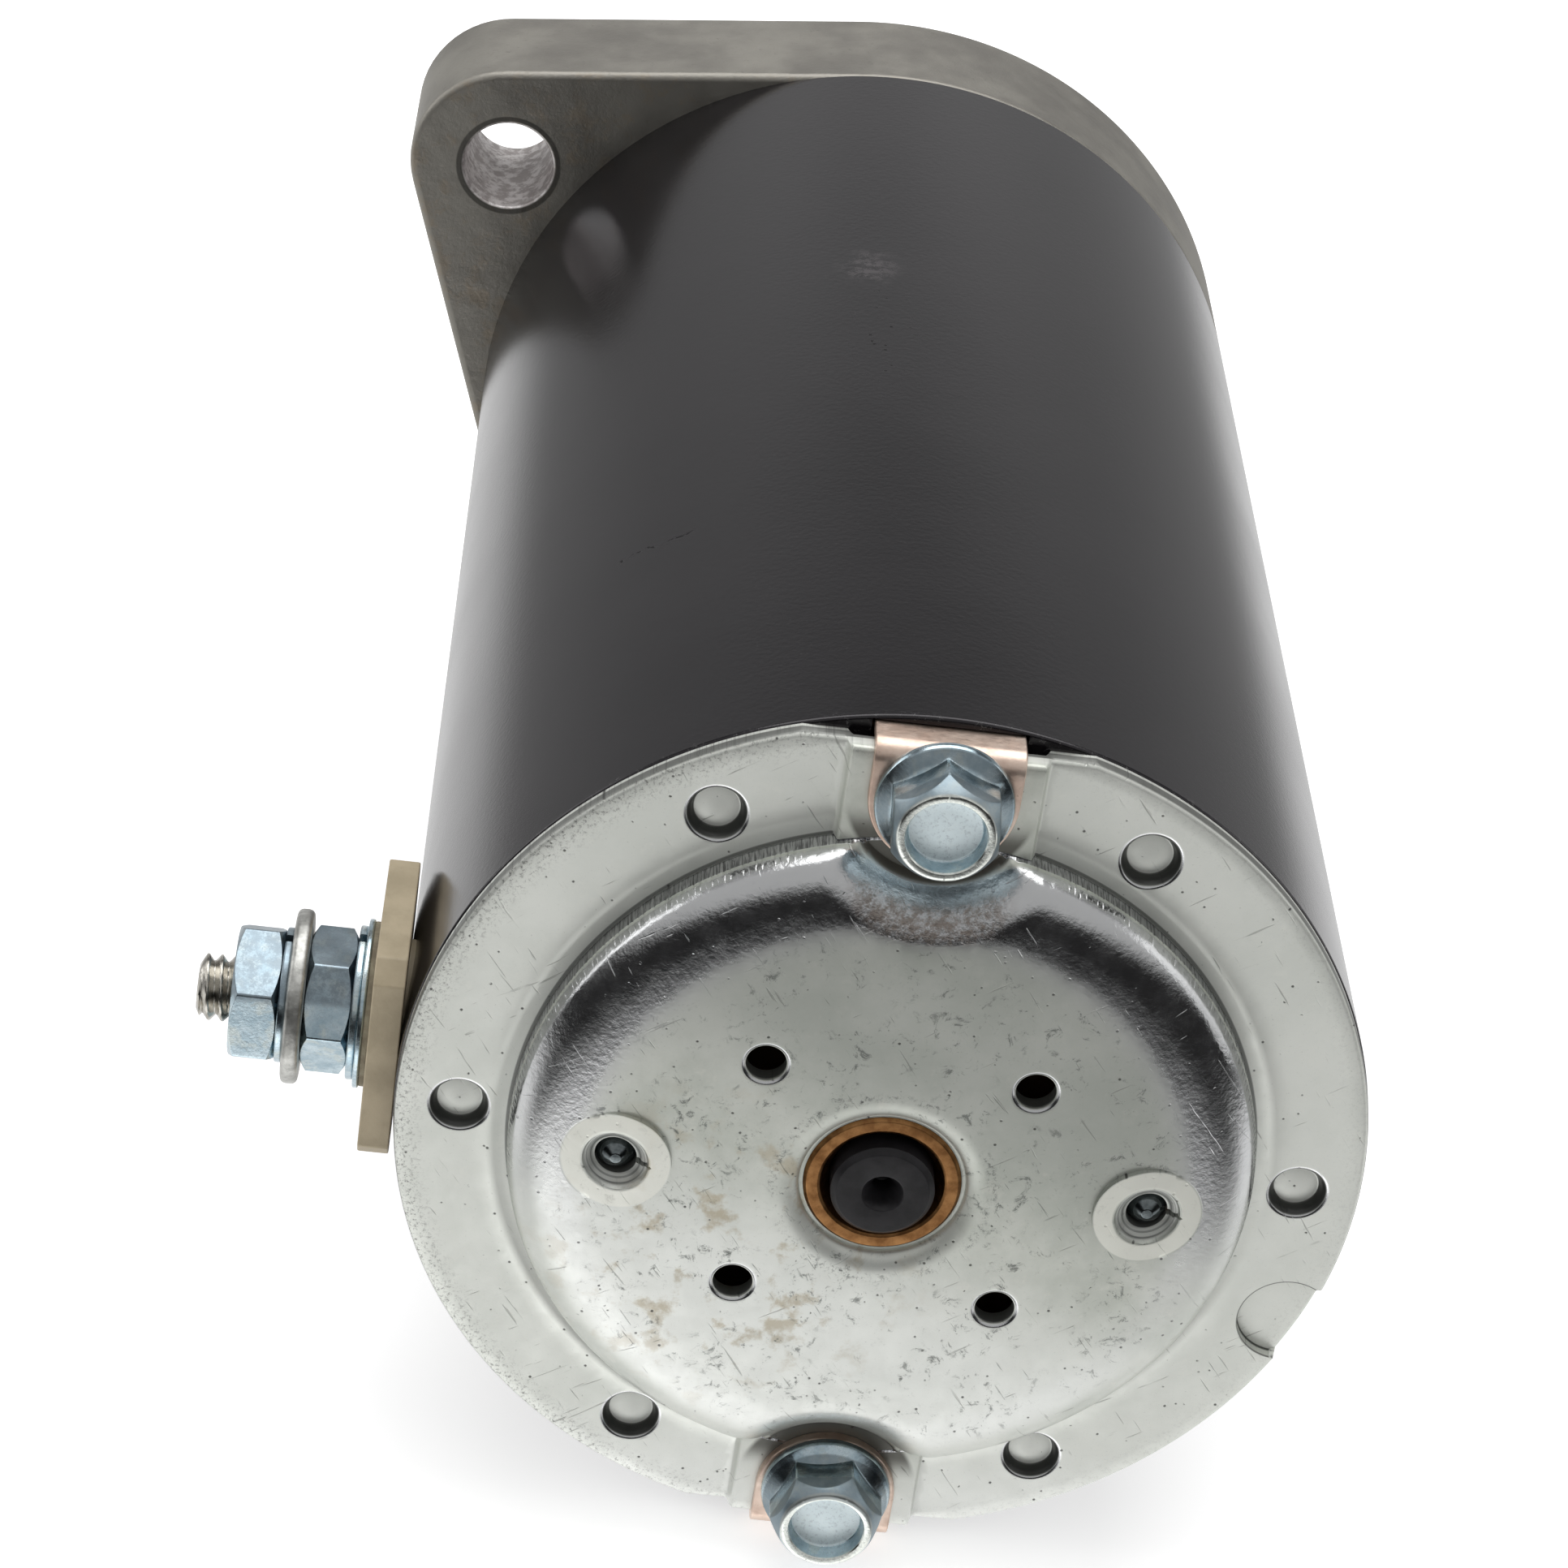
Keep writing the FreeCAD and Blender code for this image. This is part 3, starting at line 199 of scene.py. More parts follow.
class Graph(Nodes):
    """The nodes of one material; lengths are in millimetres."""

    def __init__(self, name):
        self.material = bpy.data.materials.new(name)
        self.material.use_nodes = True
        super().__init__(self.material.node_tree, "Object")
        self.shader = self.tree.nodes["Principled BSDF"]
        scaled = self.node("ShaderNodeVectorMath", operation="SCALE")
        scaled.inputs["Scale"].default_value = 1 / MM
        self.place = self.filled(scaled, (self.place,))

    def texture(self, kind, output, place, **inputs):
        made = self.node(kind)
        self.give(made.inputs["Vector"], place or self.place)
        for key, value in inputs.items():
            made.inputs[key].default_value = value
        return Value(self, made.outputs[output])

    def noise(self, size, detail=4.0, rough=0.55, place=None, distort=0.0):
        """Noise whose lumps are about size millimetres across."""
        return self.texture("ShaderNodeTexNoise", "Fac", place, Scale=1.0 / size, Detail=detail,
                            Roughness=rough, Distortion=distort)

    def cells(self, size, place=None):
        return self.texture("ShaderNodeTexVoronoi", "Distance", place, Scale=1.0 / size)

    def patches(self, low, high, *noise):
        """Noise cut to patches between two levels."""
        return self.band(self.noise(*noise), low, high)

    def mix(self, share, a, b):
        made = self.node("ShaderNodeMix", data_type="RGBA")
        self.give(made.inputs["Factor"], share)
        for name, value in (("A", a), ("B", b)):
            socket = next(s for s in made.inputs if s.name == name and s.type == "RGBA")
            self.give(socket, (*value, 1.0) if isinstance(value, tuple) else value)
        return Value(self, next(s for s in made.outputs if s.type == "RGBA"))

    def coats(self, colour, *layers):
        """Lay (share, colour) coats over a colour, in order."""
        for share, coat in layers:
            colour = self.mix(share, colour, coat)
        return colour

    def bump(self, height, depth, normal=None):
        """Bump of a height worth depth millimetres."""
        made = self.node("ShaderNodeBump")
        self.give(made.inputs["Height"], height)
        made.inputs["Distance"].default_value = depth * MM
        made.inputs["Strength"].default_value = 1.0
        if normal is not None:
            self.give(made.inputs["Normal"], normal)
        return Value(self, made.outputs[0])

    def finish(self, colour, rough, normal, metallic, **plain):
        self.give(self.shader.inputs["Base Color"], colour)
        self.give(self.shader.inputs["Roughness"], rough)
        self.give(self.shader.inputs["Metallic"], metallic)
        if normal is not None:
            self.give(self.shader.inputs["Normal"], normal)
        for key, value in plain.items():
            self.shader.inputs[key.replace("_", " ")].default_value = value
        return self.material


def plain_metal(name, light, dark, rough=0.35, spread=0.12, grain=0.12, depth=0.01, blotch=6.0,
                metallic=1.0, speck=0.35, **plain):
    """A metal or moulding with blotches, fine grain, specks of dirt and a little bump."""
    g = Graph(name)
    cloud = g.noise(blotch, 5.0, 0.6)
    fine = g.noise(grain * 4, 3.0, 0.7)
    dirt = g.patches(0.62, 0.74, 0.9, 6.0, 0.75)
    colour = g.mix(g.band(cloud, 0.32, 0.68), dark, light)
    colour = g.mix(dirt * speck, colour, tuple((c * 0.35 for c in dark)))
    level = cloud * spread + (rough - spread / 2)
    level = level + fine * (spread * 0.5)
    return g.finish(colour, level, g.bump(fine, depth), metallic, **plain)


def black_paint():
    """Gloss black paint with a rub and specks on the crown and fine scratches."""
    g = Graph("black_paint")
    x, y, z = g.split()
    cloud = g.noise(22.0, 3.0)
    peel = g.noise(0.55, 3.0, 0.6)
    colour = g.mix(g.band(cloud, 0.3, 0.7), (0.0042, 0.0036, 0.0046), (0.0075, 0.0066, 0.0078))
    # a pale rub with a trail of dark specks on the crown, and two fine scratches
    around = g.math("ARCTAN2", x, z) * TUBE_R
    flat = g.join(around, y, 0.0)
    near = g.away(g.vector("MULTIPLY", flat, (1.0, 0.75, 0.0)), (-5.4, -53.5, 0.0))
    rub = g.band(near, 4.6, 0.6) * g.patches(0.45, 0.62, 1.6, 5.0, 0.8)
    colour = g.mix(rub * 0.35, colour, (0.15, 0.135, 0.14))
    trail = g.away(g.vector("MULTIPLY", flat, (1.0, 0.25, 0.0)), (-4.2, -22.0, 0.0))
    specks = g.band(g.cells(1.25, g.join(around, y, 0.0)), 0.2, 0.1)
    specks = specks * g.band(trail, 4.6, 1.2)
    colour = g.mix(specks * 0.8, colour, (0.004, 0.004, 0.004))
    wander = g.noise(5.0, 3.0, 0.6, flat)
    line = wander * 5.2 + (around * 0.14 + 0.5)
    offset = abs(y + 124.6 + line)
    reach = abs(around + 27.6)
    scratch = g.band(offset, 0.28, 0.1) * g.band(reach, 4.6, 3.6)
    scratch = scratch * g.patches(0.42, 0.5, 0.8, 2.0, 0.6, flat)
    colour = g.mix(scratch * 0.9, colour, (0.003, 0.003, 0.003))
    edge = g.band(abs(y - TUBE_BACK), 1.1, 0.2)
    worn = edge * g.patches(0.56, 0.66, 0.7, 5.0, 0.8)
    colour = g.mix(worn * 0.5, colour, (0.12, 0.12, 0.12))
    dust = g.patches(0.7, 0.78, 0.35, 2.0, 0.5)
    colour = g.mix(dust * 0.25, colour, (0.08, 0.078, 0.08))
    level = g.band(cloud, 0.2, 0.8, 0.165, 0.205)
    level = level + rub * 0.2
    level = level + g.most(scratch, specks) * 0.75
    normal = g.bump(peel, 0.012)
    normal = g.bump(scratch, -0.03, normal)
    return g.finish(colour, level, normal, 0.0, Coat_Weight=0.0, Specular_Tint=(1.0, 0.965, 1.0, 1.0))


def cap_masks(g):
    """Where a point of the pressed cap lies, as distances and masks."""
    m = SimpleNamespace()
    m.x, m.y, m.z = x, y, z = g.split()
    m.flat = g.join(x, 0.0, z)
    m.folded = g.join(abs(x), 0.0, abs(z))
    m.radius = g.vector("LENGTH", m.flat, output="Value")
    m.height = RING_Y - y
    m.lanced = g.away(g.join(abs(x), 0.0, z), (LANCE_X, 0.0, 0.0))
    # how far a point is up the drawn shoulder, and whether it is on the upright wall
    sag = (m.radius / WALL_R) ** 2.0 * DOME
    below = RISE - sag - m.height
    shoulder = g.band(m.height, 2.12, 2.6) * g.band(below, 0.02, 0.22) * g.band(m.radius, 19.5, 22.0)
    shoulder = shoulder * g.band(m.lanced, LANCE_R - 0.05, LANCE_R + 0.1)
    m.shoulder = shoulder * g.band(z, -14.0, 8.0, 0.2, 1.0)
    wall = g.band(m.height, 0.12, 0.35) * g.band(m.height, 1.98, 1.85)
    m.wall = wall * g.band(abs(m.radius - WALL_R), 0.2, 0.1)
    # the area pushed in under each bolt head
    m.bolt = g.away(m.folded, (0.0, 0.0, BOLT_Z))
    pushed = g.band(m.bolt, DENT_R + 1.2, DENT_R + 2.4) * g.band(m.bolt, DENT_R + 5.5, DENT_R + 4.0)
    m.pushed = pushed * g.band(abs(x), 8.0, 5.0) * m.shoulder
    return m


def passivate(g, m, cloud_small):
    """The pale coat: palest on the ring, stained on the plateau, with painted light on the plateau's lower
    left and on the cap's bottom, and painted shade towards the plateau's upper right.
    """
    colour = g.mix(g.patches(0.3, 0.7, 9.0, 5.0, 0.62), (0.50, 0.525, 0.47), (0.66, 0.675, 0.62))
    stain = g.patches(0.53, 0.66, 3.6, 5.0, 0.6, g.vector("ADD", g.place, (9.0, 0.0, 4.0)))
    stain = stain * g.band(g.away(m.flat, (-13.0, 0.0, -9.0)), 22.0, 7.0)
    top = g.band(m.height, RISE - 1.6, RISE - 0.8)
    # painted light: the plateau is painted paler towards its lower left, and so is the cap below z = -30;
    # painted shade: the plateau is painted darker towards its upper right
    across = m.x * -0.35 - m.z
    pale = g.most(g.band(across, 0.0, 17.0) * top, g.band(m.z, -30.0, -42.0))
    upper_right_shade = top * g.band(across, 2.0, -15.0, 0.1, 0.55)
    return g.coats(colour,
                   (g.band(cloud_small, 0.55, 0.72, 0.0, 0.45), (0.74, 0.74, 0.67)),
                   (g.band(m.height, 1.2, 0.4, 0.0, 0.6), (0.84, 0.855, 0.81)),
                   (pale * 0.75, (0.87, 0.885, 0.85)),
                   (upper_right_shade, (0.27, 0.28, 0.26)),
                   (stain * 0.75, (0.42, 0.36, 0.25)))


def scratches_on(g, m):
    """Fine scratches in three directions."""
    found = None
    for turn, size in ((0.6, 11.0), (-0.9, 8.0), (2.2, 13.0)):
        along = m.x * math.cos(turn) + m.z * math.sin(turn)
        over = m.z * math.cos(turn) - m.x * math.sin(turn)
        thin = g.patches(0.7, 0.735, 1.0, 2.0, 0.5, g.join(along * 0.14, over * 2.6, turn), 0.4)
        thin = thin * g.patches(0.46, 0.56, size * 0.5, 2.0, 0.5, m.flat)
        found = thin if found is None else g.most(found, thin)
    return found


def grimed(g, m, colour):
    """Dark burnish and specks on the plateau, then grime along the rim, and grime with painted shade in the
    crease beside the bolts.
    """
    patch = g.patches(0.4, 0.56, 7.0, 3.0, 0.6, m.flat) * g.band(m.height, RISE - 1.4, RISE - 0.6)
    m.grime = g.patches(0.54, 0.64, 1.5, 8.0, 0.8, m.flat, 0.6) * patch
    m.specks = g.band(g.cells(1.35, m.flat), 0.13, 0.06) * g.patches(0.46, 0.52, 1.1, 2.0, 0.5, m.flat)
    m.scratches = scratches_on(g, m)
    rim = g.band(m.radius, CAP_R - 3.4, CAP_R - 0.3) * g.patches(0.5, 0.62, 0.45, 6.0, 0.85, m.flat)
    rim = rim * g.band(m.x, 10.0, -34.0, 0.2, 1.0)
    # grime and painted shade: a dark crescent on each pad, in the crease under the bolt head
    seat = g.band(m.bolt, DENT_R + 0.9, DENT_R + 0.3) * g.band(abs(m.z), 37.0, 34.0)
    return g.coats(colour,
                   (m.grime * 0.85, (0.13, 0.14, 0.13)),
                   (m.specks * 0.85, (0.05, 0.05, 0.045)),
                   (g.patches(0.6, 0.8, 0.28, 4.0, 0.7, m.flat) * 0.6, (0.18, 0.19, 0.17)),
                   (m.scratches * 0.42, (0.16, 0.16, 0.15)),
                   (rim * 0.85, (0.11, 0.105, 0.1)),
                   (seat * 0.85, (0.06, 0.055, 0.045)))


def lanced_and_rubbed(g, m, colour):
    """Cream lanced discs with turned dishes, and a broken dark ring rubbed around the bush."""
    disc = g.band(m.lanced, LANCE_R, LANCE_R - 0.2) * g.band(m.lanced, DISH_R, DISH_R + 0.2)
    dished = g.band(m.lanced, DISH_R, DISH_R - 0.3)
    rings = g.band(g.math("FRACT", m.lanced * 2.6), 0.55, 0.75)
    rubbed_and_shaded = g.band(abs(m.radius - 9.9), 0.75, 0.15) * g.patches(0.5, 0.6, 0.55, 6.0, 0.8, m.flat)
    rubbed_and_shaded = rubbed_and_shaded * g.patches(0.42, 0.55, 5.0, 2.0, 0.5, m.flat)
    return g.coats(colour,
                   (disc * 0.7, (0.8, 0.8, 0.73)),
                   (dished * 0.75, (0.4, 0.41, 0.39)),
                   (dished * rings * 0.6, (0.12, 0.125, 0.12)),
                   (rubbed_and_shaded * 0.75, (0.12, 0.125, 0.12)))


def painted_pit_shade(g, m):
    """Painted shade inside the dimples' and holes' walls and along the half-moon's crease."""
    moon = g.away(m.flat, (MOON[0], 0.0, MOON[1]))
    pit = g.band(m.height, -0.12, -0.3) * g.band(m.height, -1.3, -1.1)
    pit = pit * g.band(moon, MOON_R + 0.05, MOON_R + 0.2)
    crease = g.band(abs(moon - MOON_R), 0.16, 0.06) * g.band(abs(m.height + 0.5), 0.3, 0.45)
    hatch = g.band(m.radius, 12.0, 13.0) * g.band(m.radius, 21.5, 20.5)
    hatch = hatch * g.band(m.height, RISE - 0.5, RISE - 0.75)
    return g.most(g.most(pit, crease), hatch)


def bare_steel(g, m, colour, lines):
    """Bright steel on the drawn shoulder and on sheared lips, painted shade in the dimples' wells and at the
    wall's foot, and browned metal.
    """
    drawn = g.most(m.shoulder, m.wall)
    lips = [(spot, DIMPLE_R + 0.42) for spot in DIMPLES[:2]] + [(HATCHES[0], HATCH_R + 0.22)]
    for spot, size in lips:
        off = g.away(m.folded, (spot[0], 0.0, spot[1])) - size
        drawn = g.most(drawn, g.band(abs(off), 0.17, 0.07))
    colour = g.mix(drawn * 0.85, colour, (0.6, 0.605, 0.62))
    # painted shade: a dark ring down each dimple's wall
    for spot in DIMPLES[:2]:
        off = g.away(m.folded, (spot[0], 0.0, spot[1])) - DIMPLE_R
        well_shade = g.band(abs(off), 0.36, 0.24)
        colour = g.mix(well_shade * 0.9, colour, (0.03, 0.031, 0.029))
        drawn = drawn * (1.0 - well_shade)
    m.drawn = drawn
    browned = m.pushed * g.patches(0.38, 0.6, 0.9, 5.0, 0.75)
    # painted shade: a thin dark line in the crease at the foot of the wall
    foot_shade = g.band(abs(m.radius - (WALL_R + 0.12)), 0.22, 0.08) * g.band(m.height, 0.3, 0.15)
    return g.coats(colour,
                   (browned * 0.75, (0.23, 0.175, 0.135)),
                   (foot_shade * 0.75, (0.10, 0.105, 0.10)),
                   (m.wall * g.band(lines, 0.42, 0.6) * 0.8, (0.14, 0.14, 0.145)))


def zinc_sheet():
    """Zinc plate with a pale passivate: matt on the flats, burnished where it was drawn."""
    g = Graph("zinc_sheet")
    m = cap_masks(g)
    cloud_small = g.noise(2.4, 6.0, 0.7)
    around = g.math("ARCTAN2", m.x, m.z) * 34.0
    lines = g.noise(1.0, 3.0, 0.7, g.join(around * 4.2, m.y * 0.25, 0.0))
    colour = grimed(g, m, passivate(g, m, cloud_small))
    # painted shade in the dimples' walls, the hatch holes' walls and along the half-moon's crease
    colour = g.mix(painted_pit_shade(g, m) * 0.8, lanced_and_rubbed(g, m, colour), (0.06, 0.062, 0.058))
    colour = bare_steel(g, m, colour, lines)
    level = g.band(cloud_small, 0.3, 0.7, 0.36, 0.46) - m.drawn * 0.2 + m.grime * 0.1
    normal = g.bump(g.noise(0.22, 3.0, 0.7), 0.006)
    normal = g.bump(g.noise(0.5, 3.0, 0.55) * m.shoulder, 0.03, normal)
    normal = g.bump(g.noise(0.42, 4.0, 0.7) * m.pushed, 0.12, normal)
    normal = g.bump(lines * m.wall, 0.03, normal)
    normal = g.bump(g.most(m.scratches, m.specks), -0.02, normal)
    return g.finish(colour, level, normal, g.band(m.drawn, 0.0, 1.0, 0.62, 1.0))


def cast_alloy():
    """Sand-textured cast aluminium, sooty and a little rusty on the rear face."""
    g = Graph("cast_alloy")
    x, y, z = g.split()
    cloud = g.noise(11.0, 5.0, 0.6)
    sand = g.noise(0.5, 4.0, 0.75)
    colour = g.mix(g.band(cloud, 0.3, 0.7), (0.27, 0.255, 0.23), (0.36, 0.345, 0.31))
    soot = g.patches(0.58, 0.7, 1.2, 6.0, 0.8)
    colour = g.mix(soot * 0.35, colour, (0.13, 0.125, 0.11))
    rear = g.band(y, TUBE_FRONT + 0.7, TUBE_FRONT + 0.05)
    colour = g.mix(rear * 0.35, colour, (0.22, 0.21, 0.185))
    rust = rear * g.patches(0.5, 0.66, 4.0, 5.0, 0.7)
    colour = g.mix(rust * 0.5, colour, (0.33, 0.27, 0.2))
    level = g.band(cloud, 0.3, 0.7, 0.42, 0.56)
    # the ear holes are drilled bright, with a dark rim on the rear face
    ear = (EAR_AT * math.cos(EAR_TURN), 0.0, EAR_AT * math.sin(EAR_TURN))
    folded = g.join(abs(x), 0.0, abs(z))
    off = g.away(folded, ear)
    bore = g.band(off, EAR_HOLE + 0.35, EAR_HOLE + 0.15)
    bright = g.mix(g.patches(0.4, 0.6, 1.5, 4.0, 0.7), (0.5, 0.46, 0.45), (0.85, 0.82, 0.81))
    colour = g.mix(bore, colour, bright)
    brink = g.band(abs(off - (EAR_HOLE + 0.6)), 0.4, 0.2) * rear
    colour = g.mix(brink * 0.7, colour, (0.04, 0.038, 0.035))
    normal = g.bump(sand, 0.05)
    normal = g.bump(g.noise(3.0, 3.0, 0.5), 0.12, normal)
    return g.finish(colour, level, normal, 0.85)


def lamination():
    """Stacked steel sheets."""
    g = Graph("lamination")
    y = g.split()[1]
    sheets = g.noise(0.5, 1.0, 0.4, g.join(0.0, y, 0.0))
    colour = g.mix(g.band(sheets, 0.42, 0.58), (0.12, 0.115, 0.11), (0.32, 0.31, 0.3))
    return g.finish(colour, g.band(sheets, 0.3, 0.7, 0.35, 0.55), g.bump(sheets, 0.03), 0.9)


def rolled_copper():
    """Pale rolled copper with a grain along the flap."""
    g = Graph("copper")
    x, y, z = g.split()
    grain = g.noise(0.5, 5.0, 0.75, g.join(x * 0.6, y, z))
    cloud = g.noise(3.5, 4.0, 0.6)
    colour = g.mix(g.band(cloud, 0.3, 0.7), (0.64, 0.47, 0.38), (0.84, 0.69, 0.59))
    dull = g.patches(0.58, 0.7, 0.9, 6.0, 0.8)
    colour = g.mix(dull * 0.5, colour, (0.28, 0.17, 0.11))
    return g.finish(colour, g.band(grain, 0.3, 0.7, 0.3, 0.46), g.bump(grain, 0.02), 0.9)


def zinc_fastener():
    """Blue-white zinc on bolts, nuts and washers, worn at the bolt heads' faces."""
    g = Graph("zinc_fastener")
    x, y, z = g.split()
    cloud = g.noise(2.2, 5.0, 0.65)
    cream = g.patches(0.5, 0.66, 1.6, 4.0, 0.6, g.vector("ADD", g.place, (3.0, 7.0, 1.0)))
    # on the bolt heads: a cream worn rim, a pale recess, and painted shade in the cone under the hexagon and
    # on the crown's bevel
    off = g.away(g.join(x, 0.0, abs(z)), (0.0, 0.0, BOLT_Z))
    bolt = g.band(off, 7.0, 6.8)
    front = bolt * g.band(y, HEAD_Y + 0.3, HEAD_Y + 0.12)
    recess = bolt * g.band(y, HEAD_Y + 1.55, HEAD_Y + 1.65) * g.band(off, 3.5, 3.4)
    cone = g.band(off, 4.6, 5.0) * g.band(off, 6.0, 5.8) * g.band(y, TAB_Y - 2.6, TAB_Y - 2.2)
    # painted shade: the crown's bevel is darkened to put out its highlight
    bevel = g.band(off, 4.2, 4.35) * g.band(y, HEAD_Y + 2.3, HEAD_Y + 2.0) * bolt
    # painted shade: the terminal's zinc parts past the inner nut are painted darker grey on top, in noisy
    # patches
    nuts = g.band(x, NUT_IN + 0.3, NUT_IN) * g.band(z, 2.4, 3.2)
    rubbed_and_shaded = g.band(g.noise(1.1, 6.0, 0.8), 0.36, 0.56, 0.35, 0.85)
    colour = g.mix(g.band(cloud, 0.32, 0.68), (0.35, 0.46, 0.52), (0.60, 0.71, 0.76))
    colour = g.coats(colour,
                     (cream * 0.4, (0.68, 0.7, 0.62)),
                     (front * 0.8, (0.82, 0.83, 0.76)),
                     (recess * 0.85, (0.84, 0.94, 0.96)),
                     (cone * 0.6, (0.09, 0.11, 0.12)),
                     (bevel * 0.6, (0.16, 0.19, 0.21)),
                     (nuts * rubbed_and_shaded, (0.22, 0.27, 0.31)),
                     (g.patches(0.64, 0.72, 0.6, 6.0, 0.8) * 0.6, (0.12, 0.13, 0.14)),
                     (g.patches(0.5, 0.66, 0.35, 4.0, 0.8) * 0.35, (0.24, 0.29, 0.33)))
    level = g.band(cloud, 0.3, 0.7, 0.17, 0.29) + g.most(recess, bevel) * 0.2 + nuts * 0.12
    return g.finish(colour, level, g.bump(g.noise(0.3, 3.0, 0.6), 0.012), g.band(recess, 0.0, 1.0, 1.0, 0.45))


MATERIALS = {
    "black_paint": black_paint(),
    "zinc_sheet": zinc_sheet(),
    "cast_alloy": cast_alloy(),
    "lamination": lamination(),
    "copper": rolled_copper(),
    "zinc_fastener": zinc_fastener(),
    "copper_wire": plain_metal("copper_wire", (0.62, 0.3, 0.14), (0.4, 0.17, 0.07), 0.3),
    "bronze": plain_metal("bronze", (0.42, 0.215, 0.085), (0.2, 0.092, 0.034), 0.36, grain=0.2, blotch=1.6),
    "ferrite": plain_metal("ferrite", (0.05, 0.05, 0.052), (0.03, 0.03, 0.032), 0.7, metallic=0.0),
    "spring_steel": plain_metal("spring_steel", (0.34, 0.35, 0.37), (0.2, 0.2, 0.22), 0.3),
    "phenolic": plain_metal("phenolic", (0.12, 0.065, 0.035), (0.06, 0.03, 0.018), 0.5, metallic=0.0),
    "tan_insulator": plain_metal("tan_insulator", (0.45, 0.375, 0.255), (0.35, 0.29, 0.19), 0.52,
                                 depth=0.03, blotch=5.0, metallic=0.0, speck=0.25),
    "fibre": plain_metal("fibre", (0.36, 0.33, 0.24), (0.2, 0.17, 0.12), 0.75, metallic=0.0, blotch=2.0),
    "brass_sheet": plain_metal("brass_sheet", (0.62, 0.48, 0.23), (0.45, 0.33, 0.15), 0.32),
    "carbon": plain_metal("carbon", (0.07, 0.065, 0.06), (0.03, 0.028, 0.027), 0.6, metallic=0.2),
    "black_oxide": plain_metal("black_oxide", (0.017, 0.016, 0.018), (0.009, 0.0085, 0.0095), 0.36,
                               metallic=0.0, blotch=2.0, Specular_IOR_Level=0.25),
    "gear_steel": plain_metal("gear_steel", (0.27, 0.27, 0.28), (0.15, 0.15, 0.155), 0.3, blotch=4.0),
    "rubber": plain_metal("rubber", (0.03, 0.03, 0.03), (0.018, 0.018, 0.018), 0.7, metallic=0.0),
    "plated_spring": plain_metal("plated_spring", (0.6, 0.6, 0.57), (0.42, 0.42, 0.4), 0.28),
}
DULL_STEEL = plain_metal("dull_washer_steel", (0.66, 0.66, 0.63), (0.36, 0.36, 0.34), 0.4, blotch=1.5,
                         depth=0.03, speck=0.6)
SCREW_STEEL = plain_metal("dark_screw_steel", (0.2, 0.225, 0.23), (0.09, 0.105, 0.11), 0.14, blotch=1.0)
BRIGHT_STEEL = plain_metal("bright_thread_steel", (0.62, 0.60, 0.55), (0.35, 0.33, 0.29), 0.2, blotch=1.0)


# ------------------------------------------------------------------ mesh tools, in millimetres

def merged(shapes):
    """Several (points, faces) shapes as one."""
    points, faces, start = [], [], 0
    for more, made in shapes:
        points.append(np.asarray(more, float))
        faces.extend([tuple(i + start for i in face) for face in made])
        start += len(more)
    return np.concatenate(points), faces


def clean_mesh(name, shape, dissolve=True):
    """A mesh with close points merged and its normals turned outwards."""
    points, faces = shape
    mesh = bpy.data.meshes.new(name)
    mesh.from_pydata((np.asarray(points) * MM).tolist(), [], faces)
    work = bmesh.new()
    work.from_mesh(mesh)
    bmesh.ops.remove_doubles(work, verts=work.verts, dist=WELD)
    if dissolve:
        bmesh.ops.dissolve_degenerate(work, edges=work.edges, dist=WELD / 2)
    bmesh.ops.recalc_face_normals(work, faces=work.faces)
    work.to_mesh(mesh)
    work.free()
    return mesh


def piece(name, shape, body, slot, nodes=(), material=None, angle=32.0):
    """A mesh piece that rides a body, takes a slot's finish and stands for CAD nodes."""
    mesh = clean_mesh(name, shape)
    mesh.shade_smooth()
    mesh.set_sharp_from_angle(angle=math.radians(angle))
    mesh.materials.append(material or MATERIALS[slot])
    obj = bpy.data.objects.new(name, mesh)
    bpy.context.scene.collection.objects.link(obj)
    obj.modifiers.new("even_normals", "WEIGHTED_NORMAL").keep_sharp = True
    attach(obj, body)
    if nodes:
        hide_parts(*nodes)
    return obj


def rounded(points, closed=True, steps=4):
    """A polyline whose corners with a third number become arcs of that radius."""
    out, count = [], len(points)
    for i, point in enumerate(points):
        here = Vector(point[:2])
        radius = point[2] if len(point) > 2 else 0.0
        if not radius or (not closed and i in (0, count - 1)):
            out.append(tuple(here))
            continue
        back = Vector(points[i - 1][:2]) - here
        on = Vector(points[(i + 1) % count][:2]) - here
        half = back.angle(on) / 2
        reach = min(radius / math.tan(half), back.length * 0.48, on.length * 0.48)
        a, b = back.normalized(), on.normalized()
        centre = here + (a + b).normalized() * (reach / math.cos(half))
        first, last = here + a * reach - centre, here + b * reach - centre
        start = math.atan2(first.y, first.x)
        sweep = (math.atan2(last.y, last.x) - start + math.pi) % TURN - math.pi
        for k in range(steps + 1):
            at = start + sweep * k / steps
            out.append((centre.x + first.length * math.cos(at), centre.y + first.length * math.sin(at)))
    return out


def loft(rings, closed=False, around=True):
    """Skin over rings of points, each an (n, 3) array with the same n."""
    rings = [np.asarray(r, float) for r in rings]
    n, m = len(rings[0]), len(rings)
    faces = []
    for i in range(m if closed else m - 1):
        a, b = i * n, (i + 1) % m * n
        for k in range(n if around else n - 1):
            j = (k + 1) % n
            faces.append((a + k, a + j, b + j, b + k))
    return np.concatenate(rings), faces


def circle_of(radius, y, segments, x=0.0, z=0.0):
    """A circle about Y; radius and y may vary around it."""
    at = np.linspace(0, TURN, segments, endpoint=False)
    radius = np.broadcast_to(radius, at.shape)
    y = np.broadcast_to(y, at.shape)
    return np.stack([x + radius * np.sin(at), y, z + radius * np.cos(at)], axis=1)


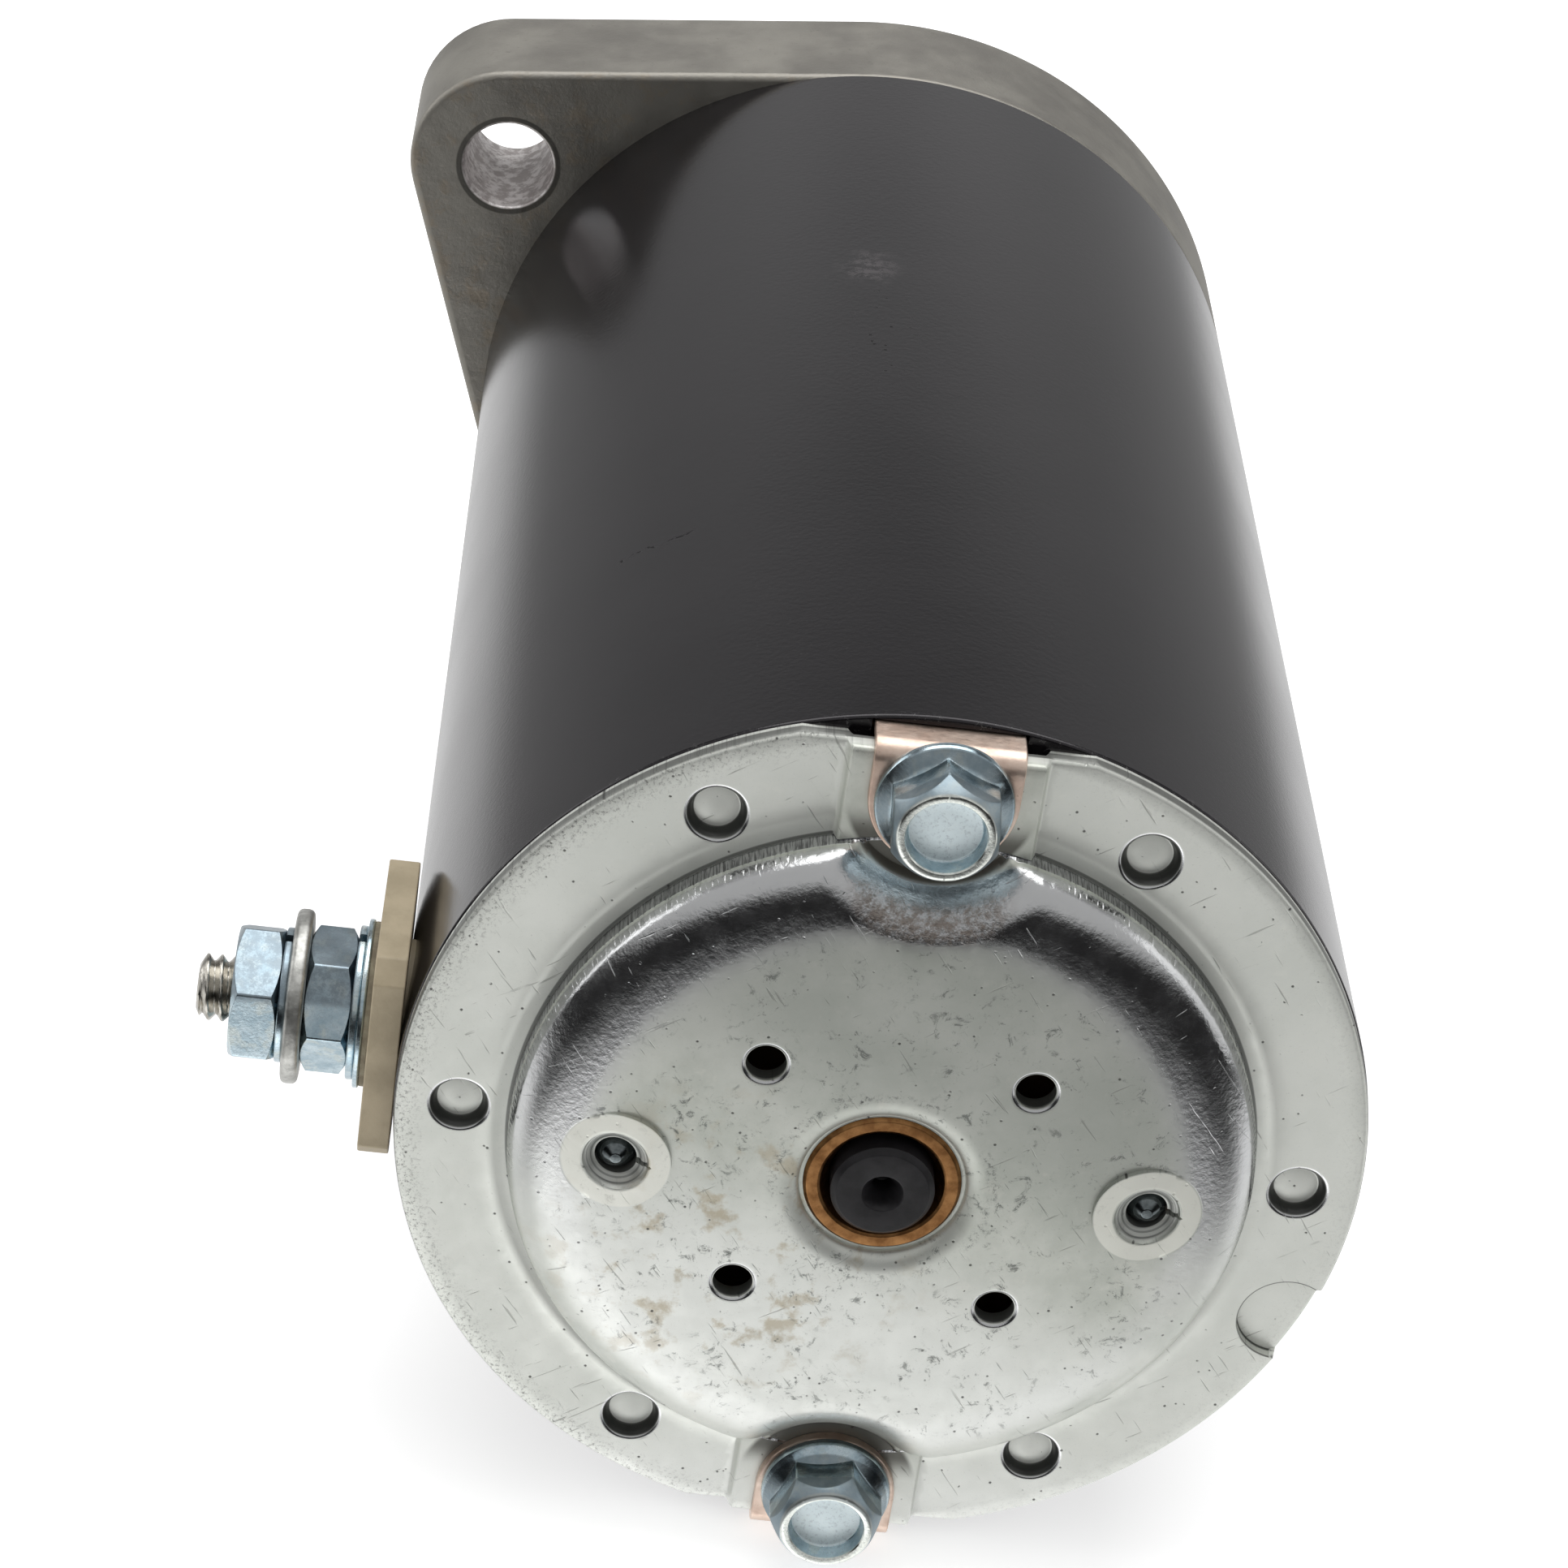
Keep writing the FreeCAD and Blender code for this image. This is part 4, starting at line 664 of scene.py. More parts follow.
def turned(points, segments=144, closed=True, steps=4, x=0.0, z=0.0):
    """Solid of revolution about Y (or a parallel axis) from (radius, y, fillet) corners."""
    path = rounded(points, closed, steps)
    return loft([circle_of(r, y, segments, x, z) for r, y in path], closed)


def to_terminal(shape):
    """From a shape built along +Y to the terminal, which points to -X."""
    points, faces = shape
    p = np.asarray(points, float)
    return np.stack([-p[:, 1], p[:, 0] + TERM_Y, p[:, 2]], axis=1), faces


def inside(points, loop):
    """Which (x, z) points lie inside a closed loop."""
    px, pz = points[:, 0][:, None], points[:, 1][:, None]
    ax, az = loop[:, 0][None], loop[:, 1][None]
    bx, bz = np.roll(loop[:, 0], -1)[None], np.roll(loop[:, 1], -1)[None]
    crosses = (az > pz) != (bz > pz)
    at = ax + (pz - az) * (bx - ax) / np.where(bz == az, 1e-9, bz - az)
    return (crosses & (px < at)).sum(axis=1) % 2 == 1


def flat_face(outer, holes, y):
    """Triangles between an outer (x, z) loop and hole loops, in the plane y."""
    loops = [np.asarray(outer)] + [np.asarray(h) for h in holes]
    points = np.concatenate(loops)
    edges, start = [], 0
    for loop in loops:
        edges += [(start + i, start + (i + 1) % len(loop)) for i in range(len(loop))]
        start += len(loop)
    made, _, faces = delaunay_2d_cdt([Vector(p) for p in points.tolist()], edges, [], 0, 1e-7)[:3]
    made = np.array([tuple(p) for p in made])
    middle = np.array([made[list(f)].mean(axis=0) for f in faces])
    keep = inside(middle, loops[0])
    for hole in loops[1:]:
        keep &= ~inside(middle, hole)
    shape = np.stack([made[:, 0], np.full(len(made), y), made[:, 1]], axis=1)
    return shape, [tuple(f) for f, good in zip(faces, keep) if good]


def shrunk(loop, distance):
    """A closed (x, z) loop moved inwards by a small distance."""
    loop = np.asarray(loop, float)
    along = np.roll(loop, -1, axis=0) - np.roll(loop, 1, axis=0)
    along /= np.linalg.norm(along, axis=1)[:, None]
    normal = np.stack([-along[:, 1], along[:, 0]], axis=1)
    area = np.sum(loop[:, 0] * np.roll(loop[:, 1], -1) - np.roll(loop[:, 0], -1) * loop[:, 1])
    return loop + normal * distance * (1 if area > 0 else -1)


def at_y(loop, y):
    """An (x, z) loop placed in the plane y."""
    loop = np.asarray(loop)
    return np.stack([loop[:, 0], np.full(len(loop), y), loop[:, 1]], axis=1)


def bevelled_rings(loop, low, high, bevel, steps=3, hole=False):
    """Rings up the side of a plate whose two edges are rounded."""
    sign = -1 if hole else 1
    rings = []
    for end, inwards in ((low, 1), (high, -1)):
        part = []
        for k in range(steps + 1):
            at = math.pi / 2 * k / steps
            part.append((bevel * (1 - math.sin(at)), end + inwards * bevel * (1 - math.cos(at))))
        rings += part if end == low else part[::-1]
    return [at_y(shrunk(loop, sign * inset), y) for inset, y in rings]


def plate(outline, holes, low, high, bevel, hole_bevel=0.2, steps=3):
    """A flat plate between two y stations with rounded edges and round-edged holes."""
    rim = bevelled_rings(outline, low, high, bevel, steps)
    bores = [bevelled_rings(hole, low, high, hole_bevel, steps, True) for hole in holes]
    shapes = [loft(rim)] + [loft(bore) for bore in bores]
    for i in (0, -1):
        y = rim[i][0][1]
        shapes.append(flat_face(rim[i][:, (0, 2)], [bore[i][:, (0, 2)] for bore in bores], y))
    return merged(shapes)


def round_loop(radius, segments, x=0.0, z=0.0):
    """A circle as an (x, z) loop."""
    return circle_of(radius, 0.0, segments, x, z)[:, (0, 2)]


def between(here, there, count):
    """Even steps from one point towards the next, without the last."""
    return [(here[0] + (there[0] - here[0]) * k / count, here[1] + (there[1] - here[1]) * k / count)
            for k in range(count)]


def hexagon(flats, turn, fillet=0.35, samples=9):
    """Closed (x, z) loop of a hexagon with slightly rounded corners and sampled sides."""
    reach = flats / 2 / math.cos(math.radians(30))
    at = [math.radians(60 * k + turn) for k in range(6)]
    corners = rounded([(reach * math.cos(a), reach * math.sin(a), fillet) for a in at], True, 4)
    out = []
    for i, here in enumerate(corners):
        there = corners[(i + 1) % len(corners)]
        gap = math.dist(here, there)
        out += between(here, there, samples if gap > 1.0 else 1)
    return np.array(out)


def scaled_ring(loop, radius, y):
    """Points in the directions of a loop's points, at their own radius and y."""
    loop = np.asarray(loop)
    own = np.linalg.norm(loop, axis=1)
    radius = np.broadcast_to(radius, own.shape)
    unit = loop / own[:, None]
    return np.stack([unit[:, 0] * radius, np.broadcast_to(y, own.shape), unit[:, 1] * radius], axis=1)


def ringed(loop, stations):
    """Rings along a loop's directions, from (radius, y) stations."""
    return [scaled_ring(loop, radius, y) for radius, y in stations]


def nut(flats, low, high, turn, bore, ease=1.05, slope=0.58):
    """A hexagon nut with 30 degree chamfers on both faces."""
    loop = hexagon(flats, turn)
    own = np.linalg.norm(loop, axis=1)
    face = flats / 2 * 0.985
    fall = np.maximum(own - face, 0.0) * slope + 0.02
    lead = 0.45
    up, down = low + fall * ease, high - fall * ease
    stations = [(bore, low + lead), (bore + lead, low), (face * 0.97, low), (face, low + 0.03),
                (own - 0.02, up), (own, up + 0.06), (own, down - 0.06), (own - 0.02, down),
                (face, high - 0.03), (face * 0.97, high), (bore + lead, high), (bore, high - lead)]
    return loft(ringed(loop, stations), closed=True)


def swept(path, radius, sides=12, close_ends=True):
    """A round wire along a path of points."""
    path = np.asarray(path, float)
    along = np.gradient(path, axis=0)
    along /= np.linalg.norm(along, axis=1)[:, None]
    side = np.cross(along[0], (0.3, 0.2, 0.9))
    rings = []
    for here, way in zip(path, along):
        side = side - way * np.dot(side, way)
        side /= np.linalg.norm(side)
        other = np.cross(way, side)
        at = np.linspace(0, TURN, sides, endpoint=False)[:, None]
        rings.append(here + radius * (np.cos(at) * side + np.sin(at) * other))
    if close_ends:
        rings = [np.repeat(path[:1], sides, axis=0)] + rings + [np.repeat(path[-1:], sides, axis=0)]
    return loft(rings)


def threaded(crest, root, pitch, low, high, lead, segments=56):
    """A screw thread between two y stations, eased at the high end, with end faces."""
    per = 14
    stations = np.linspace(low, high, int((high - low) / pitch * per) + 1)
    at = np.linspace(0, 1, segments, endpoint=False)
    rings = [circle_of(0.0, low, segments)]
    for y in stations:
        phase = (y / pitch - at) % 1.0
        wave = np.clip(np.abs(phase - 0.5) * 2.6 - 0.18, 0, 1)
        radius = crest - (crest - root) * wave
        limit = root - 0.35 + (high - y) / lead * (crest - root + 0.35)
        rings.append(circle_of(np.minimum(radius, limit), y, segments))
    rings.append(circle_of(0.0, high, segments))
    return loft(rings)


def opened(shape_rings, gap_degrees):
    """Part of a ring section turned about Y with a gap, for a split lock washer."""
    gap = math.radians(gap_degrees)
    at = np.linspace(gap / 2, TURN - gap / 2, 120)
    section = np.asarray(shape_rings, float)
    rings = [np.stack([section[:, 0] * math.sin(a), section[:, 1], section[:, 0] * math.cos(a)], axis=1)
             for a in at]
    points, faces = loft(rings)
    n, last = len(section), (len(rings) - 1) * len(section)
    faces += [tuple(range(n)), tuple(last + i for i in reversed(range(n)))]
    return points, faces


# ------------------------------------------------------------------ commutator end cap

def smooth(value, low, high):
    """Smooth step from low to high, which may be given in either order."""
    share = np.clip((value - low) / (high - low), 0, 1)
    return share * share * (3 - 2 * share)


def soft_min(a, b, reach):
    """The lower of two heights, blended over reach."""
    share = np.clip(0.5 + 0.5 * (b - a) / reach, 0, 1)
    return b + (a - b) * share - reach * share * (1 - share)


def cap_height(x, z):
    """Height of the cap's outer skin above the ring face."""
    r = np.hypot(x, z)
    share = np.clip(r / WALL_R, 0, 1)
    arc = WALL_H + (RISE - WALL_H - DOME * share ** 2) * np.sqrt(np.maximum(1 - share ** FULLNESS, 0.0))
    bolt = np.hypot(x, np.abs(z) - BOLT_Z)
    wall = PAD_H + np.maximum(bolt - DENT_R, 0) * DENT_SLOPE
    reach = DENT_BLEND * smooth(bolt, DENT_R, DENT_R + 0.8) + 1e-6
    raised = np.where(r < WALL_R, soft_min(arc, wall, reach), 0.0)
    bead = 0.16 * np.exp(-((r - 35.6) / 0.6) ** 2) * (r > WALL_R)
    edge = np.minimum(CAP_R - r, CHORD - np.abs(z))
    roll = 0.5 - np.sqrt(np.maximum(0.25 - np.maximum(0.5 - edge, 0.0) ** 2, 0.0))
    ramp = smooth(np.abs(x), PAD_X + PAD_RAMP, PAD_X)
    pad = PAD_H * ramp * (np.abs(z) > 30)
    out = np.maximum(np.where(r < WALL_R, raised, bead), pad)
    out = out - roll
    return out


def carve(x, z, height):
    """Dimples, lanced discs, edge lips and the half-moon, as depth taken off the skin."""
    for cx, cz in DIMPLES:
        d = np.hypot(x - cx, z - cz)
        wall = smooth(d, DIMPLE_R + 0.42, DIMPLE_R + 0.05) * 0.32
        wall = wall + smooth(d, DIMPLE_R + 0.06, DIMPLE_R - 0.3) * 0.68
        dome = 0.10 * np.clip(1 - (d / (DIMPLE_R - 0.35)) ** 2, 0, 1)
        height = height - wall * DIMPLE_DEEP + np.where(d < DIMPLE_R - 0.35, dome, 0.0)
    for side in (-1, 1):
        dx, dz = x - side * LANCE_X, z
        d = np.hypot(dx, dz)
        inwards = -dx * side / LANCE_R
        sink = -0.5 * smooth(inwards, -0.6, 0.5)
        height = np.where(d < LANCE_R, height - sink, height)
        height = height - np.where(d < LANCE_R, 1, 0) * smooth(d, DISH_R, DISH_R - 0.28) * 0.42
        height = height - smooth(d, DISH_R - 0.35, SCREW_HOLE) * 0.6 * (d < LANCE_R)
        slit = (np.abs(dz + 0.1) < 0.24 * np.clip((3.5 - d) / 1.4, 0, 1)) & (dx > 0) & (d < 3.5)
        height = height - np.where(slit, 0.75, 0.0)
    for cx, cz in HATCHES:
        d = np.hypot(x - cx, z - cz)
        height = height - smooth(d, HATCH_R + 0.32, HATCH_R) * 0.22
    r = np.hypot(x, z)
    roll = np.clip((BUSH_LIP - r) / (BUSH_LIP - BUSH_EDGE), 0, 1)
    height = height - BUSH_SINK * (1 - np.sqrt(1 - roll ** 2))
    moon = np.hypot(x - MOON[0], z - MOON[1])
    return height - np.where(moon < MOON_R, MOON_DEEP, 0.0)


def ring_points(cx, cz, radii, count):
    """Points on circles about one centre."""
    at = np.linspace(0, TURN, count, endpoint=False)
    return np.concatenate([np.stack([cx + r * np.sin(at), cz + r * np.cos(at)], axis=1) for r in radii])


def away(points, cx, cz, radius):
    """Which points lie farther than radius from a centre."""
    return np.hypot(points[:, 0] - cx, points[:, 1] - cz) > radius


def off_circle(points, centre, radius, gap):
    """Which points lie farther than gap from a circle."""
    return np.abs(np.hypot(points[:, 0] - centre[0], points[:, 1] - centre[1]) - radius) > gap


def clear_of_edges(points):
    """The points that stay clear of every pressed edge, which has points of its own."""
    keep = np.abs(points[:, 1]) < CHORD - 0.7
    outside = np.hypot(*points.T) > WALL_R
    for cx, cz in DIMPLES:
        keep &= away(points, cx, cz, 3.25)
    for cx, cz in HATCHES:
        keep &= away(points, cx, cz, 2.6)
    for side in (-1, 1):
        keep &= away(points, side * LANCE_X, 0, LANCE_R + 0.35)
        keep &= away(points, 0, side * BOLT_Z, 13.0) | outside
        keep &= away(points, 0, side * BOLT_Z, BOLT_HOLE + 0.6)
    beside = np.abs(np.abs(points[:, 0]) - PAD_X - PAD_RAMP / 2) < 0.55
    keep &= ~(beside & (np.abs(points[:, 1]) > 30) & outside)
    keep &= off_circle(points, MOON, MOON_R, 0.35)
    return points[keep]


def bolt_side_points(side):
    """Points around one bolt: its scallop, its hole, its pad's ramps and the cap's flat edge."""
    cz = side * BOLT_Z
    dent = ring_points(0, cz, list(np.arange(5.2, 8.0, 0.9)) + list(np.arange(DENT_R, 12.9, 0.2)), 240)
    r = np.hypot(*dent.T)
    sets = [dent[(r < WALL_R - 0.2) & (r > FLAT_R - 8)], ring_points(0, cz, [BOLT_HOLE, BOLT_HOLE + 0.4], 48)]
    z = np.arange(32.0, CHORD - 0.7, 0.35)
    for beside in (-0.05, 0.1, 0.2, 0.35, 0.47, PAD_RAMP + 0.03):
        ramps = [np.stack([np.full(len(z), s * (PAD_X + beside)), side * z], axis=1) for s in (-1, 1)]
        line = np.concatenate(ramps)
        sets.append(line[np.hypot(*line.T) > WALL_R + 0.1])
    half = math.sqrt(CAP_R ** 2 - CHORD ** 2)
    for drop in (0.0, 0.05, 0.15, 0.3, 0.5):
        xs = np.linspace(-half, half, 105)
        row = np.stack([xs, np.full(len(xs), side * (CHORD - drop))], axis=1)
        sets.append(row if not drop else row[np.hypot(*row.T) < CAP_R - 0.55])
    return sets


def cap_points():
    """Points of the skin, laid along every edge and kept sparse on the flats."""
    thin = 0.02
    arc = [FLAT_R + (WALL_R - FLAT_R) * math.sin(math.radians(a)) for a in range(6, 90, 6)]
    radii = list(np.arange(10.4, 28.8, 0.85)) + [FLAT_R] + arc[:-1]
    upright = [WALL_R - thin, WALL_R + thin]
    outer = [34.3, 34.75, 35.2, 35.6, 36.0, 36.5] + list(np.arange(37.3, 43.5, 0.9))
    rim = [CAP_R - 0.5, CAP_R - 0.3, CAP_R - 0.15, CAP_R - 0.05, CAP_R]
    base = np.concatenate([ring_points(0, 0, radii, 360), ring_points(0, 0, outer, 432)])
    strong = np.concatenate([ring_points(0, 0, upright, 864), ring_points(0, 0, rim, 864)])
    strong = strong[(np.abs(strong[:, 1]) < CHORD - 0.02) & off_circle(strong, MOON, MOON_R, 0.12)]
    dimple_radii = [0.7, 1.35, 1.95, 2.0, 2.1, 2.2, 2.32, 2.44, 2.56, 2.68, 2.8, 3.0]
    lance_radii = [3.3, 3.6, 4.1, 4.6, LANCE_R - thin, LANCE_R + thin, LANCE_R + 0.2]
    sets = [clear_of_edges(base), strong]
    for cx, cz in DIMPLES:
        sets.append(ring_points(cx, cz, dimple_radii, 56))
        sets.append(np.array([[cx, cz]]))
    for cx, cz in HATCHES:
        sets.append(ring_points(cx, cz, [HATCH_R, 1.9, 1.98, 2.08, 2.2, 2.4], 56))
    for side in (-1, 1):
        cx = side * LANCE_X
        sets.append(ring_points(cx, 0, lance_radii, 120))
        sets.append(ring_points(cx, 0, list(np.arange(SCREW_HOLE, DISH_R + 0.1, 0.085)), 120))
        sets += bolt_side_points(side)
    bush = [BUSH_LIP - (BUSH_LIP - BUSH_EDGE) * math.sin(math.radians(a)) for a in range(0, 91, 9)]
    sets.append(ring_points(0, 0, [BUSH_R] + bush + [BUSH_LIP + 0.4], 200))
    moon = ring_points(*MOON, [MOON_R - thin, MOON_R + thin], 200)
    sets.append(moon[(np.abs(moon[:, 1]) < CHORD) & (np.hypot(*moon.T) < CAP_R - 0.55)])
    return np.concatenate(sets)


def pressed_cap():
    """The end cap: skin, inner face and bush collar in one piece."""
    points = cap_points()
    made, _, faces = delaunay_2d_cdt([Vector(p) for p in points.tolist()], [], [], 0, 1e-7)[:3]
    made = np.array([tuple(p) for p in made])
    faces = np.array([tuple(f) for f in faces])
    middle = made[faces].mean(axis=1)
    gone = np.hypot(*middle.T) < BUSH_R
    for cx, cz in HATCHES:
        gone |= np.hypot(middle[:, 0] - cx, middle[:, 1] - cz) < HATCH_R
    for side in (-1, 1):
        gone |= np.hypot(middle[:, 0] - side * LANCE_X, middle[:, 1]) < SCREW_HOLE
        gone |= np.hypot(middle[:, 0], middle[:, 1] - side * BOLT_Z) < BOLT_HOLE
    faces = faces[~gone]
    x, z = made[:, 0], made[:, 1]
    plain = cap_height(x, z)
    skin = carve(x, z, plain)
    moon = np.hypot(x - MOON[0], z - MOON[1]) < MOON_R
    back = np.where(moon | (plain < 0), np.maximum(plain, 0.0), skin) - GAUGE
    outer = np.stack([x, RING_Y - skin, z], axis=1)
    inner = np.stack([x, RING_Y - np.minimum(back, skin - 0.3), z], axis=1)
    n = len(made)
    edges = {}
    for a, b, c in faces.tolist():
        for pair in ((a, b), (b, c), (c, a)):
            edges[tuple(sorted(pair))] = pair if tuple(sorted(pair)) not in edges else None
    walls = [(pair[1], pair[0], pair[0] + n, pair[1] + n) for pair in edges.values() if pair]
    front = [tuple(f) for f in faces.tolist()]
    all_faces = front + [(c + n, b + n, a + n) for a, b, c in front] + walls
    collar = turned([(BUSH_R, PLATEAU_Y + BUSH_SINK), (BUSH_R + GAUGE, PLATEAU_Y + GAUGE, 0.5),
                     (BUSH_R + GAUGE, PLATEAU_Y + 9.8, 0.4), (BUSH_R, PLATEAU_Y + 9.8, 0.4)], 160)
    shape = merged([(np.concatenate([outer, inner]), all_faces), collar])
    return piece("end_cap_pressing", shape, "motor_body", "zinc_sheet", ["commutator_end_cap"], angle=38.0)


# ------------------------------------------------------------------ tube, flange and fasteners

BOX_FACES = [(0, 1, 3, 2), (4, 6, 7, 5), (0, 4, 5, 1), (2, 3, 7, 6), (0, 2, 6, 4), (1, 5, 7, 3)]


def cut_out(obj, shapes):
    """Take closed shapes out of a piece with an exact boolean."""
    tool = bpy.data.objects.new("cutter", clean_mesh("cutter", merged(shapes), dissolve=False))
    bpy.context.scene.collection.objects.link(tool)
    taken = obj.modifiers.new("cut", "BOOLEAN")
    taken.operation, taken.solver, taken.object = "DIFFERENCE", "EXACT", tool
    bpy.context.view_layer.objects.active = obj
    while obj.modifiers[0] != taken:
        obj.modifiers.move(len(obj.modifiers) - 1, 0)
    made = bpy.data.meshes.new_from_object(obj.evaluated_get(bpy.context.evaluated_depsgraph_get()))
    obj.modifiers.remove(taken)
    obj.data = made
    bpy.data.objects.remove(tool)


def tube_shell():
    """The drawn housing with its pressed bump beside the ear."""
    inner = TUBE_R - TUBE_WALL
    outline = rounded([(TUBE_R, TUBE_BACK, 0.35), (TUBE_R, TUBE_FRONT), (inner, TUBE_FRONT),
                       (inner, TUBE_BACK, 0.3)], True, 3)
    nub_at, nub_y, nub_long, nub_wide, nub_high = math.radians(-50.2), -34.0, 6.6, 5.6, 1.7
    segments = 540
    at = np.linspace(0, TURN, segments, endpoint=False)
    around = ((at - nub_at + math.pi) % TURN - math.pi) * TUBE_R
    rings = []
    for i, (r, y) in enumerate(outline):
        rings.append(circle_of(r, y, segments))
        after = outline[(i + 1) % len(outline)]
        if r == TUBE_R and after[0] == TUBE_R and after[1] - y > 50:
            for station in np.arange(-160.0, -44.0, 8.0).tolist() + np.arange(-43.0, -25.0, 0.5).tolist():
                far = np.sqrt((around / nub_long) ** 2 + ((station - nub_y) / nub_wide) ** 2)
                lift = nub_high * smooth(far, 1.1, 0.15)
                rings.append(circle_of(TUBE_R + lift, station, segments))
    obj = piece("field_tube", loft(rings, closed=True), "motor_body", "black_paint", ["field_frame"])
    back, relief = TUBE_BACK - 1, 6.85
    cutters = [to_terminal(turned([(0, 36), (6.5, 36), (6.5, 50), (0, 50)], 48, closed=False))]
    for side in (1, -1):
        low, high = sorted((side * 40.0, side * 43.65))
        box = [(x, y, z) for x in (-relief, relief) for y in (back, back + 11.5) for z in (low, high)]
        cutters.append((np.array(box), BOX_FACES))
    cut_out(obj, cutters)
    return obj


def flange_outline(step=1.2):
    """Closed (x, z) loop of the two-ear flange, turned to its real angle."""
    lean = math.acos((TUBE_R - EAR_R) / EAR_AT)
    loop = []

    def arc(cx, radius, begin, end):
        count = max(2, int(abs(end - begin) * radius / step))
        for k in range(count + 1):
            a = begin + (end - begin) * k / count
            loop.append((cx + radius * math.cos(a), radius * math.sin(a)))

    arc(EAR_AT, EAR_R, -lean, lean)
    arc(0.0, TUBE_R, lean, math.pi - lean)
    arc(-EAR_AT, EAR_R, math.pi - lean, math.pi + lean)
    arc(0.0, TUBE_R, math.pi + lean, TURN - lean)
    dense = []
    for i, here in enumerate(loop):
        there = loop[(i + 1) % len(loop)]
        dense += between(here, there, max(1, int(math.dist(here, there) / (2 * step))))
    c, s = math.cos(EAR_TURN), math.sin(EAR_TURN)
    return np.array([(x * c + z * s, z * c - x * s) for x, z in dense])


def drive_flange():
    """The cast drive-end frame: ears, pilot, spigot, hub and ribs as one skin."""
    outline = flange_outline()
    low, high = TUBE_FRONT, 0.0
    c, s = math.cos(EAR_TURN), math.sin(EAR_TURN)
    holes = [round_loop(EAR_HOLE, 72, side * EAR_AT * c, -side * EAR_AT * s) for side in (1, -1)]
    rim = bevelled_rings(outline, low, high, 0.9, 4)
    bores = [bevelled_rings(hole, low, high, 0.45, 3, True) for hole in holes]
    pilot, spigot, cavity, hub = 31.75, TUBE_R - TUBE_WALL - 0.02, 33.0, 13.0
    bore = corner("front_bushing", 1, 0)
    hub_back = corner("drive_end_frame", 0, 1)
    web = -7.0
    path = rounded([(pilot, high), (pilot, 0.9, 0.25), (pilot, 5.0, 0.8), (bore + 0.8, 5.0), (bore, 4.2),
                    (bore, hub_back), (hub - 1.5, hub_back, 0.4), (hub, hub_back + 1.5, 0.4), (hub, web, 1.0),
                    (cavity, web, 1.0), (cavity, low - 8.0), (spigot - 0.6, low - 8.0), (spigot, low - 7.4),
                    (spigot, low)], False, 4)
    shapes = [loft(rim), *[loft(b) for b in bores], loft([circle_of(r, y, 216) for r, y in path])]
    for i, radius in ((0, spigot), (-1, pilot)):
        y = rim[i][0][1]
        inner = circle_of(radius, 0.0, 216)[:, (0, 2)]
        shapes.append(flat_face(rim[i][:, (0, 2)], [b[i][:, (0, 2)] for b in bores] + [inner], y))
    for k in range(6):
        turn = math.radians(60 * k) - EAR_TURN
        c, s = math.cos(turn), math.sin(turn)
        rib = [(r * c - w * s, y, r * s + w * c)
               for r in (hub - 1, cavity + 1) for w in (-1.8, 1.8) for y in (low, web + 0.5)]
        shapes.append((np.array(rib), BOX_FACES))
    return piece("drive_flange_casting", merged(shapes), "motor_body", "cast_alloy", ["drive_end_frame"])


def bolt_head(seat, turn):
    """Indented hexagon washer head, pointing to -Y from its seat."""
    flats, rim, crown, face_r = 9.2, 6.1, HEAD_Y, 4.15
    front = seat - 1.1
    loop = hexagon(flats, turn, 0.3)
    own = np.linalg.norm(loop, axis=1)
    deep, reach = 1.95, flats / 2 / math.cos(math.radians(30)) - face_r
    cone = lambda r: front - 0.15 - (rim - 0.35 - r) * 0.62
    fall = lambda r: crown + deep * np.clip((r - face_r) / reach, 0, 1) ** 1.25
    stations = [(0.0, seat), (rim - 0.3, seat), (rim - 0.08, seat - 0.1), (rim, seat - 0.32),
                (rim, front + 0.4), (rim - 0.1, front + 0.15), (rim - 0.35, front),
                (own + 0.12, cone(own + 0.12)), (own, cone(own) - 0.12), (own, fall(own) + 0.08)]
    for share in (0.97, 0.8, 0.6, 0.4, 0.2, 0.08):
        r = face_r + (own - face_r) * share
        stations.append((r, fall(r)))
    # the worn face, then the recess pressed into the crown
    stations += [(face_r - 0.05, crown + 0.005), (3.9, crown), (3.6, crown + 0.03), (3.5, crown + 0.15),
                 (3.44, crown + 0.4), (3.36, crown + 1.15), (3.3, crown + 1.5), (3.15, crown + 1.68),
                 (2.9, crown + 1.74), (1.5, crown + 1.7), (0.0, crown + 1.68)]
    return loft(ringed(loop, stations))


def long_bolts():
    """The two through bolts with their heads, shanks and threads."""
    seat = TAB_Y
    shapes = []
    for side, turn in ((1, 95.0), (-1, 69.0)):
        head = bolt_head(seat, turn)
        plain_end = BOLT_TIP - 17
        shank = turned([(0, seat - 0.2), (2.75, seat - 0.2), (2.75, plain_end), (0, plain_end)], 48, False)
        thread = threaded(3.1, 2.68, 1.27, BOLT_TIP - 17.2, BOLT_TIP, 1.2)
        # the lower bolt sits to one side of its clearance hole
        height = BOLT_Z if side > 0 else 0.6 - BOLT_Z
        for points, faces in (head, shank, thread):
            shapes.append((points + np.array([0, 0, height]), faces))
    return piece("through_bolt_pair", merged(shapes), "motor_body", "zinc_fastener", ["through_bolts"],
                 angle=26.0)


